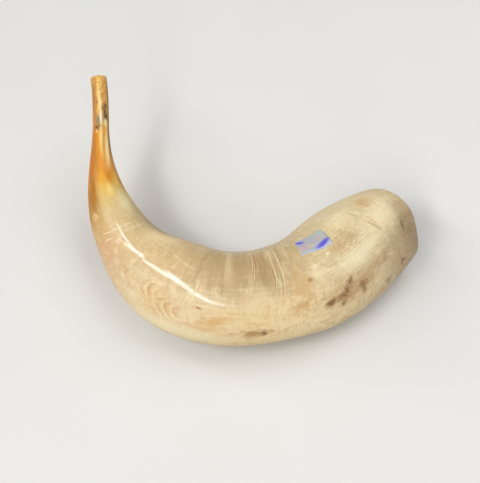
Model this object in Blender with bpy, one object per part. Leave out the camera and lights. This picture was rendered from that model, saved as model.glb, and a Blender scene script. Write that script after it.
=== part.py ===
"""A shofar: a ram's horn, drilled and shaped into a wind instrument, lying on its flatter side.

A horn grows as a stack of keratin cones. Each older cone, nearer the tip, laps over the younger cone behind it.
The solids are divided at those laps, and the foil label on the bell is a piece of its own. Sizes are in metres,
+Z is up, and the horn lies on Z = 0 with the origin under the middle of its box.
"""

import math
from typing import Callable, NamedTuple

import bmesh
import bpy
from mathutils import Vector


class Section(NamedTuple):
    """A cross-section of the horn, square to its axis, in shares of the main sizes."""

    ends: str  # the cone whose wider edge is here, if any
    place: float  # from the mouthpiece's face, as a share of the axis
    heading: float  # degrees from +X in which the axis runs towards the bell, as seen from above
    width: float  # as a share of the bell's width
    height: float  # as a share of the section's own width
    wall: float  # horn left round the natural hollow, as a share of the section's own width
    keel: float  # how far the ridge stands proud of an oval, as a share of the radius


class Finish(NamedTuple):
    """The colour and gloss of one piece."""

    colour: tuple[float, float, float]
    roughness: float
    metallic: float = 0.0


# The main sizes: the axis from the mouthpiece's face to the rim as seen from above, and the bell at its widest
AXIS_LENGTH = 0.333
BELL_WIDTH = 0.0725

# The horn's sections, from the mouthpiece's face to the rim
SECTIONS = (
    Section("", place=0.0, heading=-80.5, width=0.160, height=1.0, wall=0.92, keel=0.0),
    Section("mouthpiece", place=0.090, heading=-88.5, width=0.160, height=1.0, wall=0.96, keel=0.0),
    Section("amber_neck", place=0.318, heading=-60.5, width=0.524, height=0.92, wall=0.33, keel=0.05),
    Section("bend_cone", place=0.5285, heading=-23.5, width=0.883, height=0.89, wall=0.10, keel=0.08),
    Section("belly_cone", place=0.655, heading=7.5, width=0.883, height=0.875, wall=0.086, keel=0.08),
    Section("flare_cone", place=0.727, heading=17.5, width=0.917, height=0.85, wall=0.075, keel=0.08),
    Section("", place=0.871, heading=44.0, width=1.0, height=0.80, wall=0.062, keel=0.08),
    Section("bell_cone", place=1.0, heading=41.0, width=0.841, height=0.78, wall=0.065, keel=0.08),
)

# How the horn lies: its tip rises off the surface, and it touches down this far along in a soft curve
TIP_LIFT = 0.064
LIFT_REACH = 0.152
LIFT_SOFTNESS = 0.3

# The drilled bore, and the cup for the lips at its end
BORE_DIAMETER = 0.0050
CUP_DIAMETER = 0.0066
CUP_DEPTH = 0.008

# The worked ends: rounded edges, and the slant of the saw cut at the rim in degrees
TIP_ROUND = 0.0012
RIM_ROUND = 0.0010
RIM_LEAN = 11.0
RIM_TURN = 6.0

# Where two cones lap: how far the younger one reaches under the older, and the gap along the axis
LAP = 0.004
LAP_GAP = 0.0005

# The foil label, from the edge of the flare cone, and round the axis in degrees from the side
LABEL_LENGTH = 0.0210
LABEL_WIDTH = 0.0155
LABEL_THICKNESS = 0.0003
LABEL_GAP = 0.0003
LABEL_OFFSET = 0.023
LABEL_ANGLE = 103.0
LABEL_TURN = -8.0
LABEL_CELLS = (8, 6)

# How finely the surfaces are divided
SIDES = 40
RING_STEP = 0.007
AXIS_STEP = 0.0005
ROUND_STEPS = 3
SMOOTH_ANGLE = 40.0

FINISHES = {
    "mouthpiece": Finish((0.72, 0.44, 0.15), 0.35),
    "amber_neck": Finish((0.58, 0.27, 0.05), 0.20),
    "bend_cone": Finish((0.66, 0.50, 0.32), 0.18),
    "belly_cone": Finish((0.66, 0.51, 0.34), 0.18),
    "flare_cone": Finish((0.68, 0.53, 0.36), 0.18),
    "bell_cone": Finish((0.70, 0.56, 0.38), 0.22),
    "foil_label": Finish((0.66, 0.68, 0.80), 0.25, 0.7),
}

Ring = list[Vector]


def end_slope(near: float, far: float, near_rise: float, far_rise: float) -> float:
    """Slope at the end of a smooth curve, from the lengths and rises of its last two spans."""
    slope = ((2 * near + far) * near_rise - near * far_rise) / (near + far)
    if slope * near_rise <= 0:
        return 0.0
    if near_rise * far_rise <= 0 and abs(slope) > 3 * abs(near_rise):
        return 3 * near_rise
    return slope


def smooth(places: list[float], values: list[float]) -> Callable[[float], float]:
    """A smooth function through the values that never goes beyond them between two places."""
    spans = [after - before for before, after in zip(places, places[1:])]
    rises = [(after - before) / span for before, after, span in zip(values, values[1:], spans)]
    slopes = [end_slope(spans[0], spans[1], rises[0], rises[1])]
    for before, after, rise, next_rise in zip(spans, spans[1:], rises, rises[1:]):
        near = 2 * after + before
        far = after + 2 * before
        turns_back = rise * next_rise <= 0
        slopes.append(0.0 if turns_back else (near + far) / (near / rise + far / next_rise))
    slopes.append(end_slope(spans[-1], spans[-2], rises[-1], rises[-2]))

    def value_at(place: float) -> float:
        index = 0
        while index < len(spans) - 1 and place > places[index + 1]:
            index += 1
        span = spans[index]
        share = (place - places[index]) / span
        rest = 1 - share
        start = values[index] * (1 + 2 * share) + slopes[index] * span * share
        end = values[index + 1] * (1 + 2 * rest) - slopes[index + 1] * span * rest
        return start * rest**2 + end * share**2

    return value_at


class Horn:
    """The horn's surfaces, as points at a distance along its axis and an angle round it."""

    def __init__(self, sections: tuple[Section, ...]) -> None:
        widths = [section.width * BELL_WIDTH for section in sections]
        heights = [section.height * width for section, width in zip(sections, widths)]
        walls = [section.wall * width for section, width in zip(sections, widths)]
        self.length = AXIS_LENGTH
        self.places = [section.place * AXIS_LENGTH for section in sections]
        self.edges = {section.ends: place for section, place in zip(sections, self.places)}
        self.heading = smooth(self.places, [math.radians(section.heading) for section in sections])
        self.half_width = smooth(self.places, [width / 2 for width in widths])
        self.half_height = smooth(self.places, [height / 2 for height in heights])
        self.wall = smooth(self.places, walls)
        self.keel = smooth(self.places, [section.keel for section in sections])
        self.axis = self.lay_axis()
        self.ups = self.carry_up()

    def centre_height(self, place: float) -> float:
        """Height of the axis: half the horn's own height, and its rise towards the tip."""
        share = max(0.0, 1 - place / LIFT_REACH)
        rise = math.hypot(share, LIFT_SOFTNESS) - LIFT_SOFTNESS
        whole_rise = math.hypot(1.0, LIFT_SOFTNESS) - LIFT_SOFTNESS
        return self.half_height(place) * (1 - self.keel(place)) + TIP_LIFT * rise / whole_rise

    def lay_axis(self) -> list[Vector]:
        """Points along the axis at even steps, starting above the origin at the tip."""
        count = math.ceil(self.length / AXIS_STEP) + 1
        x, y = 0.0, 0.0
        points = [Vector((x, y, self.centre_height(0.0)))]
        for index in range(1, count + 1):
            heading = self.heading((index - 0.5) * AXIS_STEP)
            x += AXIS_STEP * math.cos(heading)
            y += AXIS_STEP * math.sin(heading)
            points.append(Vector((x, y, self.centre_height(index * AXIS_STEP))))
        return points

    def direction(self, index: int) -> Vector:
        """Direction of the axis at one of its points, towards the bell."""
        before = self.axis[max(0, index - 1)]
        after = self.axis[min(len(self.axis) - 1, index + 1)]
        return (after - before).normalized()

    def carry_up(self) -> list[Vector]:
        """The sections' upward direction, carried without twist from the bell to the tip."""
        ups = []
        up = Vector((0.0, 0.0, 1.0))
        for index in reversed(range(len(self.axis))):
            along = self.direction(index)
            up = (up - along * up.dot(along)).normalized()
            ups.append(up)
        return ups[::-1]

    def frame(self, place: float) -> tuple[Vector, Vector, Vector, Vector]:
        """Centre of the section at a place, and its directions along the axis, sideways and up."""
        index = min(max(0, int(place / AXIS_STEP)), len(self.axis) - 2)
        share = place / AXIS_STEP - index
        centre = self.axis[index].lerp(self.axis[index + 1], share)
        along = self.direction(index).lerp(self.direction(index + 1), share).normalized()
        up = self.ups[index].lerp(self.ups[index + 1], share)
        up = (up - along * up.dot(along)).normalized()
        return centre, along, along.cross(up), up

    def rim_slide(self, place: float, sideways: float, upwards: float) -> float:
        """How far the slanted saw cut moves a point along the axis, growing towards the rim."""
        swell = self.places[-2]
        share = min(max(0.0, (place - swell) / (self.length - swell)), 1.0)
        slant = sideways * math.tan(math.radians(RIM_TURN)) + upwards * math.tan(math.radians(RIM_LEAN))
        return slant * share**2

    def point(self, place: float, angle: float, half_width: float, half_height: float, keel: float) -> Vector:
        """A point of an oval with a soft ridge on top, in the section at a place."""
        centre, along, side, up = self.frame(place)
        reach = 1 - keel * math.sin(3 * angle)
        sideways = half_width * reach * math.cos(angle)
        upwards = half_height * reach * math.sin(angle)
        return centre + side * sideways + up * upwards + along * self.rim_slide(place, sideways, upwards)

    def outer(self, place: float, angle: float, inset: float = 0.0) -> Vector:
        """A point of the outside, or inside it by the inset."""
        half_width = self.half_width(place) - inset
        half_height = self.half_height(place) - inset
        return self.point(place, angle, half_width, half_height, self.keel(place))

    def inner(self, place: float, angle: float, outset: float = 0.0) -> Vector:
        """A point of the cup, the drilled bore or the natural hollow, or outside it by the outset."""
        bore = BORE_DIAMETER / 2
        cup = bore + (CUP_DIAMETER / 2 - bore) * (1 - place / CUP_DEPTH)
        round_part = max(bore, cup)
        half_width = max(round_part, self.half_width(place) - self.wall(place))
        half_height = max(round_part, self.half_height(place) - self.wall(place))
        keel = self.keel(place) * (1 - round_part / half_width)
        return self.point(place, angle, half_width + outset, half_height + outset, keel)


def ring_of(surface: Callable[..., Vector], place: float, offset: float = 0.0) -> Ring:
    """The points of one ring of a surface, with a flat between two points underneath."""
    return [surface(place, 2 * math.pi * (side + 0.5) / SIDES, offset) for side in range(SIDES)]


def even_places(start: float, end: float) -> list[float]:
    """Places from start to end, about one ring step apart."""
    count = max(2, round(abs(end - start) / RING_STEP))
    return [start + (end - start) * index / count for index in range(count + 1)]


def rounded_edge(radius: float) -> list[tuple[float, float]]:
    """Offsets of a quarter round from a flat end: the distance behind it and the distance inwards."""
    turns = [math.pi / 2 * index / ROUND_STEPS for index in range(ROUND_STEPS + 1)]
    return [(radius * (1 - math.cos(turn)), radius * (1 - math.sin(turn))) for turn in turns]


def tip_end(horn: Horn) -> tuple[list[Ring], float]:
    """The rounded outer edge round the mouthpiece's face, and where the outside goes on from it."""
    rings = [ring_of(horn.outer, behind, inwards) for behind, inwards in rounded_edge(TIP_ROUND)]
    return rings, TIP_ROUND


def rim_end(horn: Horn) -> list[Ring]:
    """The rim from its outer edge over the flat saw cut to its inner edge."""
    edge = rounded_edge(RIM_ROUND)
    outer = [ring_of(horn.outer, horn.length - behind, inwards) for behind, inwards in reversed(edge)]
    inner = [ring_of(horn.inner, horn.length - behind, inwards) for behind, inwards in edge]
    return outer + inner


def cone_rings(horn: Horn, start: float, end: float) -> list[Ring]:
    """The loop of rings round one cone's wall: along its outside to the bell, and back along its inside."""
    half_gap = LAP_GAP / 2
    first = start <= 0
    last = end >= horn.length
    tip_rings, after_tip = tip_end(horn)
    outside = even_places(after_tip if first else start + half_gap, end - (RIM_ROUND if last else half_gap))
    under = 0.0 if first else start - LAP + half_gap
    inside = even_places(end - (RIM_ROUND if last else LAP + half_gap), under)
    if first:
        inside = sorted({*inside, CUP_DEPTH}, reverse=True)
    rings = list(tip_rings[:-1]) if first else []
    rings += [ring_of(horn.outer, place) for place in outside]
    if last:
        rings += rim_end(horn)[1:-1]
    rings += [ring_of(horn.inner, place) for place in inside]
    return rings


def finish_material(name: str) -> bpy.types.Material:
    """The material of one piece."""
    finish = FINISHES[name]
    material = bpy.data.materials.new(name)
    material.use_nodes = True
    shader = material.node_tree.nodes["Principled BSDF"]
    shader.inputs["Base Color"].default_value = (*finish.colour, 1.0)
    shader.inputs["Roughness"].default_value = finish.roughness
    shader.inputs["Metallic"].default_value = finish.metallic
    return material


def add_piece(name: str, points: Ring, faces: list[tuple[int, ...]], carrier: bpy.types.Object) -> bpy.types.Object:
    """A named object of these faces, with its material, on the carrier."""
    mesh = bpy.data.meshes.new(name)
    mesh.from_pydata(points, [], faces)
    mesh.materials.append(finish_material(name))
    work = bmesh.new()
    work.from_mesh(mesh)
    bmesh.ops.recalc_face_normals(work, faces=work.faces)
    work.to_mesh(mesh)
    work.free()
    mesh.shade_smooth()
    mesh.set_sharp_from_angle(angle=math.radians(SMOOTH_ANGLE))
    piece = bpy.data.objects.new(name, mesh)
    bpy.context.collection.objects.link(piece)
    piece.parent = carrier
    return piece


def add_cone(horn: Horn, name: str, start: float, end: float, carrier: bpy.types.Object) -> bpy.types.Object:
    """One cone of the horn, as a closed tube between two places on the axis."""
    rings = cone_rings(horn, start, end)
    points = [point for ring in rings for point in ring]
    faces = []
    for index in range(len(rings)):
        here = index * SIDES
        there = (index + 1) % len(rings) * SIDES
        for side in range(SIDES):
            following = (side + 1) % SIDES
            faces.append((here + side, here + following, there + following, there + side))
    return add_piece(name, points, faces, carrier)


def add_label(horn: Horn, carrier: bpy.types.Object) -> bpy.types.Object:
    """The foil label: a rectangle laid on the bell's curved surface."""
    middle = horn.edges["flare_cone"] + LABEL_OFFSET
    angle = math.radians(LABEL_ANGLE)
    along = (horn.outer(middle + AXIS_STEP, angle) - horn.outer(middle - AXIS_STEP, angle)) / (2 * AXIS_STEP)
    small_turn = math.radians(1.0)
    around = (horn.outer(middle, angle + small_turn) - horn.outer(middle, angle - small_turn)) / (2 * small_turn)
    turn = math.radians(LABEL_TURN)
    columns, rows = LABEL_CELLS
    points = []
    for row in range(rows + 1):
        for column in range(columns + 1):
            lengthwise = (column / columns - 0.5) * LABEL_LENGTH
            crosswise = (row / rows - 0.5) * LABEL_WIDTH
            place = middle + (lengthwise * math.cos(turn) - crosswise * math.sin(turn)) / along.length
            spot = angle + (lengthwise * math.sin(turn) + crosswise * math.cos(turn)) / around.length
            points.append(horn.outer(place, spot, -LABEL_GAP))
    faces = []
    for row in range(rows):
        for column in range(columns):
            corner = row * (columns + 1) + column
            faces.append((corner, corner + columns + 1, corner + columns + 2, corner + 1))
    label = add_piece("foil_label", points, faces, carrier)
    skin = label.modifiers.new("thickness", "SOLIDIFY")
    skin.thickness = LABEL_THICKNESS
    skin.offset = 1.0
    return label


def set_down(carrier: bpy.types.Object, pieces: list[bpy.types.Object]) -> None:
    """Moves the carrier so that the horn lies on Z = 0 with the origin under the middle of its box."""
    points = [vertex.co for piece in pieces for vertex in piece.data.vertices]
    low = Vector(map(min, zip(*points)))
    high = Vector(map(max, zip(*points)))
    middle = (low + high) / 2
    carrier.location = (-middle.x, -middle.y, -low.z)


def main() -> None:
    """Clears the scene and makes the shofar."""
    for thing in list(bpy.data.objects):
        bpy.data.objects.remove(thing)
    carrier = bpy.data.objects.new("shofar", None)
    bpy.context.collection.objects.link(carrier)
    horn = Horn(SECTIONS)
    cones = []
    start = 0.0
    for section, place in zip(SECTIONS, horn.places):
        if section.ends:
            cones.append(add_cone(horn, section.ends, start, place, carrier))
            start = place
    add_label(horn, carrier)
    set_down(carrier, cones)


main()
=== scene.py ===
"""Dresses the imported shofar: lacquered horn, growth lines, a blank foil label, floor, light and camera.

Sizes are in metres in the frame of the CAD part, +Z up. A spot on the horn is named by its place, which is
the distance along the axis from the mouthpiece's face as seen from above, in millimetres, and by its angle
round the axis in degrees: 0 on the outer side of the bend, 90 on top, 180 on the inner side.
"""

import logging
import math
from dataclasses import dataclass, field
from enum import Enum
from typing import Any, NamedTuple, Sequence

import bmesh
import bpy
import numpy as np
from mathutils import Matrix, Vector
from mathutils.bvhtree import BVHTree


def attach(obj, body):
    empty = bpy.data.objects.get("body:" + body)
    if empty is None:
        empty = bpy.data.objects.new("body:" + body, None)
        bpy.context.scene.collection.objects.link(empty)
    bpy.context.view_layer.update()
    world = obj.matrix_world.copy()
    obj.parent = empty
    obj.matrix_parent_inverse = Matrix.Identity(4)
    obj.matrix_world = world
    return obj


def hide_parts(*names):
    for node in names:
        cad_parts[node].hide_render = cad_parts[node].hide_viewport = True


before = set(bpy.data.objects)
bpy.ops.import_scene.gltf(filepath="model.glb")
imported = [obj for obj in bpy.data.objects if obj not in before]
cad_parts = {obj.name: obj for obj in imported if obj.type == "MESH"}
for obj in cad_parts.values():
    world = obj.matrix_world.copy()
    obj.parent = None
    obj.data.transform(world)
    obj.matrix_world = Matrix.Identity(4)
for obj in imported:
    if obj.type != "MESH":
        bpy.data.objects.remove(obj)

log = logging.getLogger("shofar")

MM = 0.001
BODY = "root"
HORN_NODES = ("mouthpiece", "amber_neck", "bend_cone", "belly_cone", "flare_cone", "bell_cone")
LABEL_NODE = "foil_label"

Colour = tuple[float, float, float, float]
Stops = tuple[tuple[float, Colour], ...]
Spot = tuple[float, float]  # a place in millimetres and an angle in degrees
Point = tuple[float, float, float]
Span = tuple[float, float]  # two values that something goes between
Socket = bpy.types.NodeSocket


class Slot(Enum):
    """The names of the record's material slots for the horn and the foil."""

    HORN = "cream_horn"
    FOIL = "foil"


class Fray(Enum):
    """What frays a mark's edge: noise cells of this size along and round the horn, in millimetres."""

    FINE = (2.0, 2.0)
    CLOT = (4.5, 3.5)
    BROAD = (9.0, 7.0)
    STREAK = (16.0, 1.2)
    BAND = (1.2, 14.0)


def screen(red: int, green: int, blue: int) -> Colour:
    """Linear colour of a screen colour.

    Args:
        red, green, blue: The screen colour's parts, from 0 to 255.

    Returns:
        The linear colour with full alpha.
    """
    parts = [value / 255 for value in (red, green, blue)]
    linear = [part / 12.92 if part <= 0.04045 else ((part + 0.055) / 1.055) ** 2.4 for part in parts]
    return (*linear, 1.0)


class Wiring:
    """Adds nodes to one node tree and joins them."""

    def __init__(self, tree: bpy.types.NodeTree) -> None:
        """Keeps the tree that the nodes go into."""
        self.tree = tree

    def add(self, kind: str, inputs: dict[str | int, Any] | None = None, **settings: Any) -> bpy.types.Node:
        """Adds a node.

        Args:
            kind: The node's type.
            inputs: Values or sockets for its inputs, by name or number.
            settings: The node's own properties.

        Returns:
            The new node.
        """
        node = self.tree.nodes.new(kind)
        for name, value in settings.items():
            setattr(node, name, value)
        self.give(node, inputs or {})
        return node

    def give(self, node: bpy.types.Node, inputs: dict[str | int, Any]) -> None:
        """Links sockets to a node's inputs, or sets the inputs' own values."""
        for name, value in inputs.items():
            entry = node.inputs[name] if isinstance(name, int) else self.in_use(node.inputs, name)
            if isinstance(value, Socket):
                self.tree.links.new(value, entry)
            else:
                entry.default_value = value

    def in_use(self, sockets: Any, name: str) -> Socket:
        """The one of a node's sockets that is in use under a name."""
        return next(socket for socket in sockets if socket.name == name and socket.enabled)

    def math(self, operation: str, *values: Any) -> Socket:
        """The result of a sum on single values."""
        return self.add("ShaderNodeMath", dict(enumerate(values)), operation=operation).outputs[0]

    def linear(self, value: Any, gain: Any, start: Any) -> Socket:
        """A value times its gain, added to a start."""
        return self.math("MULTIPLY_ADD", value, gain, start)

    def product(self, *values: Any) -> Socket:
        """Single values multiplied together."""
        result = values[0]
        for value in values[1:]:
            result = self.math("MULTIPLY", result, value)
        return result

    def vector(self, operation: str, *values: Any) -> Socket:
        """The vector that a sum on vectors gives."""
        node = self.add("ShaderNodeVectorMath", dict(enumerate(values)), operation=operation)
        return node.outputs["Vector"]

    def scaled(self, vector: Any, scale: Any) -> Socket:
        """A vector times a single value."""
        node = self.add("ShaderNodeVectorMath", {"Vector": vector, "Scale": scale}, operation="SCALE")
        return node.outputs["Vector"]

    def length(self, vector: Any) -> Socket:
        """The length of a vector."""
        return self.add("ShaderNodeVectorMath", {0: vector}, operation="LENGTH").outputs["Value"]

    def parts(self, vector: Any) -> tuple[Socket, Socket, Socket]:
        """The three parts of a vector."""
        return tuple(self.add("ShaderNodeSeparateXYZ", {0: vector}).outputs)

    def joined(self, x: Any, y: Any, z: Any) -> Socket:
        """A vector of three parts."""
        return self.add("ShaderNodeCombineXYZ", {0: x, 1: y, 2: z}).outputs[0]

    def between(self, value: Any, low: Any, high: Any) -> Socket:
        """How far a value has gone from low to high, from 0 to 1 with soft ends."""
        inputs = {"Value": value, "From Min": low, "From Max": high}
        return self.add("ShaderNodeMapRange", inputs, interpolation_type="SMOOTHSTEP").outputs["Result"]

    def within(self, value: Any, rise: Span, fall: Span) -> Socket:
        """1 where a value lies past its rise and before its fall, with soft ends."""
        return self.product(self.between(value, *rise), self.between(value, fall[1], fall[0]))

    def noise(self, vector: Any, scale: Any = 1.0, detail: float = 2.0, roughness: float = 0.5,
              warp: float = 0.0, seed: Any = 0.0) -> Socket:
        """Cloudy values from about 0 to 1.

        Args:
            vector: Where on the surface.
            scale: Clouds for each unit of the vector.
            detail: How many finer layers are added.
            roughness: How strong the finer layers are.
            warp: How far the clouds are pulled about.
            seed: Picks one of many such patterns.

        Returns:
            The value socket.
        """
        inputs = {"Vector": vector, "W": seed, "Scale": scale, "Detail": detail, "Roughness": roughness,
                  "Distortion": warp}
        return self.add("ShaderNodeTexNoise", inputs, noise_dimensions="4D").outputs[0]

    def ramp(self, value: Any, stops: Stops) -> Socket:
        """A colour looked up along stops of a place and a colour."""
        node = self.add("ShaderNodeValToRGB", {"Fac": value})
        elements = node.color_ramp.elements
        while len(elements) < len(stops):
            elements.new(0.5)
        for element, (place, colour) in zip(elements, stops):
            element.position = place
            element.color = colour
        return node.outputs["Color"]

    def lay(self, share: Any, under: Any, over: Any) -> Socket:
        """One colour laid over another by a share."""
        inputs = {"Factor": share, "A": under, "B": over}
        node = self.add("ShaderNodeMix", inputs, data_type="RGBA", clamp_factor=True)
        return self.in_use(node.outputs, "Result")

    def emboss(self, shader: bpy.types.Node, height: Socket, strength: float, depth: float) -> None:
        """Gives a shader's surface a fine relief.

        Args:
            shader: The shader.
            height: The relief's pattern.
            strength: How strongly it shows.
            depth: Its depth in metres.
        """
        inputs = {"Height": height, "Strength": strength, "Distance": depth}
        self.give(shader, {"Normal": self.add("ShaderNodeBump", inputs).outputs["Normal"]})

    def group(self, tree: bpy.types.NodeTree, inputs: dict[str, Any]) -> Any:
        """A node group placed with its own values.

        Args:
            tree: The group.
            inputs: Values or sockets for its inputs, by name.

        Returns:
            The group's outputs.
        """
        return self.add("ShaderNodeGroup", inputs, node_tree=tree).outputs

    def named(self, kind: str, name: str) -> Socket:
        """A named attribute of the geometry in a Geometry Nodes tree."""
        node = self.add("GeometryNodeInputNamedAttribute", {"Name": name}, data_type=kind)
        return self.in_use(node.outputs, "Attribute")


def new_material(name: str) -> tuple[bpy.types.Material, Wiring, bpy.types.Node]:
    """An empty material.

    Args:
        name: The material's name.

    Returns:
        The material, the wiring of its nodes and its Principled shader.
    """
    material = bpy.data.materials.new(name)
    material.use_nodes = True
    return material, Wiring(material.node_tree), material.node_tree.nodes["Principled BSDF"]


def new_tree(name: str, kind: str, inputs: Sequence[tuple[str, str]],
             outputs: Sequence[tuple[str, str]]) -> Wiring:
    """A node group with named inputs and outputs.

    Args:
        name: The group's name.
        kind: The type of node tree.
        inputs: Names and socket types of what goes in.
        outputs: Names and socket types of what comes out.

    Returns:
        The wiring of the group's own nodes.
    """
    tree = bpy.data.node_groups.new(name, kind)
    for label, socket in inputs:
        tree.interface.new_socket(name=label, in_out="INPUT", socket_type="NodeSocket" + socket)
    for label, socket in outputs:
        tree.interface.new_socket(name=label, in_out="OUTPUT", socket_type="NodeSocket" + socket)
    return Wiring(tree)


def end_slope(near: float, far: float, near_rise: float, far_rise: float) -> float:
    """Slope at the end of a smooth curve, from the lengths and rises of its last two spans."""
    slope = ((2 * near + far) * near_rise - near * far_rise) / (near + far)
    if slope * near_rise <= 0:
        return 0.0
    if near_rise * far_rise <= 0 and abs(slope) > 3 * abs(near_rise):
        return 3 * near_rise
    return slope


def smooth(knots: np.ndarray, values: np.ndarray, at: np.ndarray) -> np.ndarray:
    """A smooth curve through values that never goes beyond them between two knots.

    Args:
        knots: Where the values stand, rising.
        values: The values there.
        at: Where the curve is read.

    Returns:
        The curve's values.
    """
    spans = np.diff(knots)
    rises = np.diff(values) / spans
    slopes = np.zeros(len(knots))
    for index in range(1, len(spans)):
        before, after = rises[index - 1], rises[index]
        if before * after > 0:
            near = 2 * spans[index] + spans[index - 1]
            far = spans[index] + 2 * spans[index - 1]
            slopes[index] = (near + far) / (near / before + far / after)
    slopes[0] = end_slope(spans[0], spans[1], rises[0], rises[1])
    slopes[-1] = end_slope(spans[-1], spans[-2], rises[-1], rises[-2])
    span = np.clip(np.searchsorted(knots, at) - 1, 0, len(spans) - 1)
    share = (at - knots[span]) / spans[span]
    rest = 1 - share
    start = values[span] * (1 + 2 * share) + slopes[span] * spans[span] * share
    end = values[span + 1] * (1 + 2 * rest) - slopes[span + 1] * spans[span] * rest
    return start * rest**2 + end * share**2


class Section(NamedTuple):
    """A cross-section of the horn, in shares of its main sizes, as in the CAD source."""

    place: float  # of the axis
    heading: float  # degrees from +X, as seen from above
    width: float  # of the bell's width
    height: float  # of its own width
    wall: float  # of its own width
    keel: float  # of the radius


SECTIONS = (
    Section(place=0.0, heading=-80.5, width=0.160, height=1.0, wall=0.92, keel=0.0),
    Section(place=0.090, heading=-88.5, width=0.160, height=1.0, wall=0.96, keel=0.0),
    Section(place=0.318, heading=-60.5, width=0.524, height=0.92, wall=0.33, keel=0.05),
    Section(place=0.5285, heading=-23.5, width=0.883, height=0.89, wall=0.10, keel=0.08),
    Section(place=0.655, heading=7.5, width=0.883, height=0.875, wall=0.086, keel=0.08),
    Section(place=0.727, heading=17.5, width=0.917, height=0.85, wall=0.075, keel=0.08),
    Section(place=0.871, heading=44.0, width=1.0, height=0.80, wall=0.062, keel=0.08),
    Section(place=1.0, heading=41.0, width=0.841, height=0.78, wall=0.065, keel=0.08),
)


class Rings(NamedTuple):
    """Rings of points round the axis: centre + (1 - keel sin 3a) (across cos a + rise sin a)."""

    place: np.ndarray
    centre: np.ndarray
    across: np.ndarray
    rise: np.ndarray
    keel: np.ndarray


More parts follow.
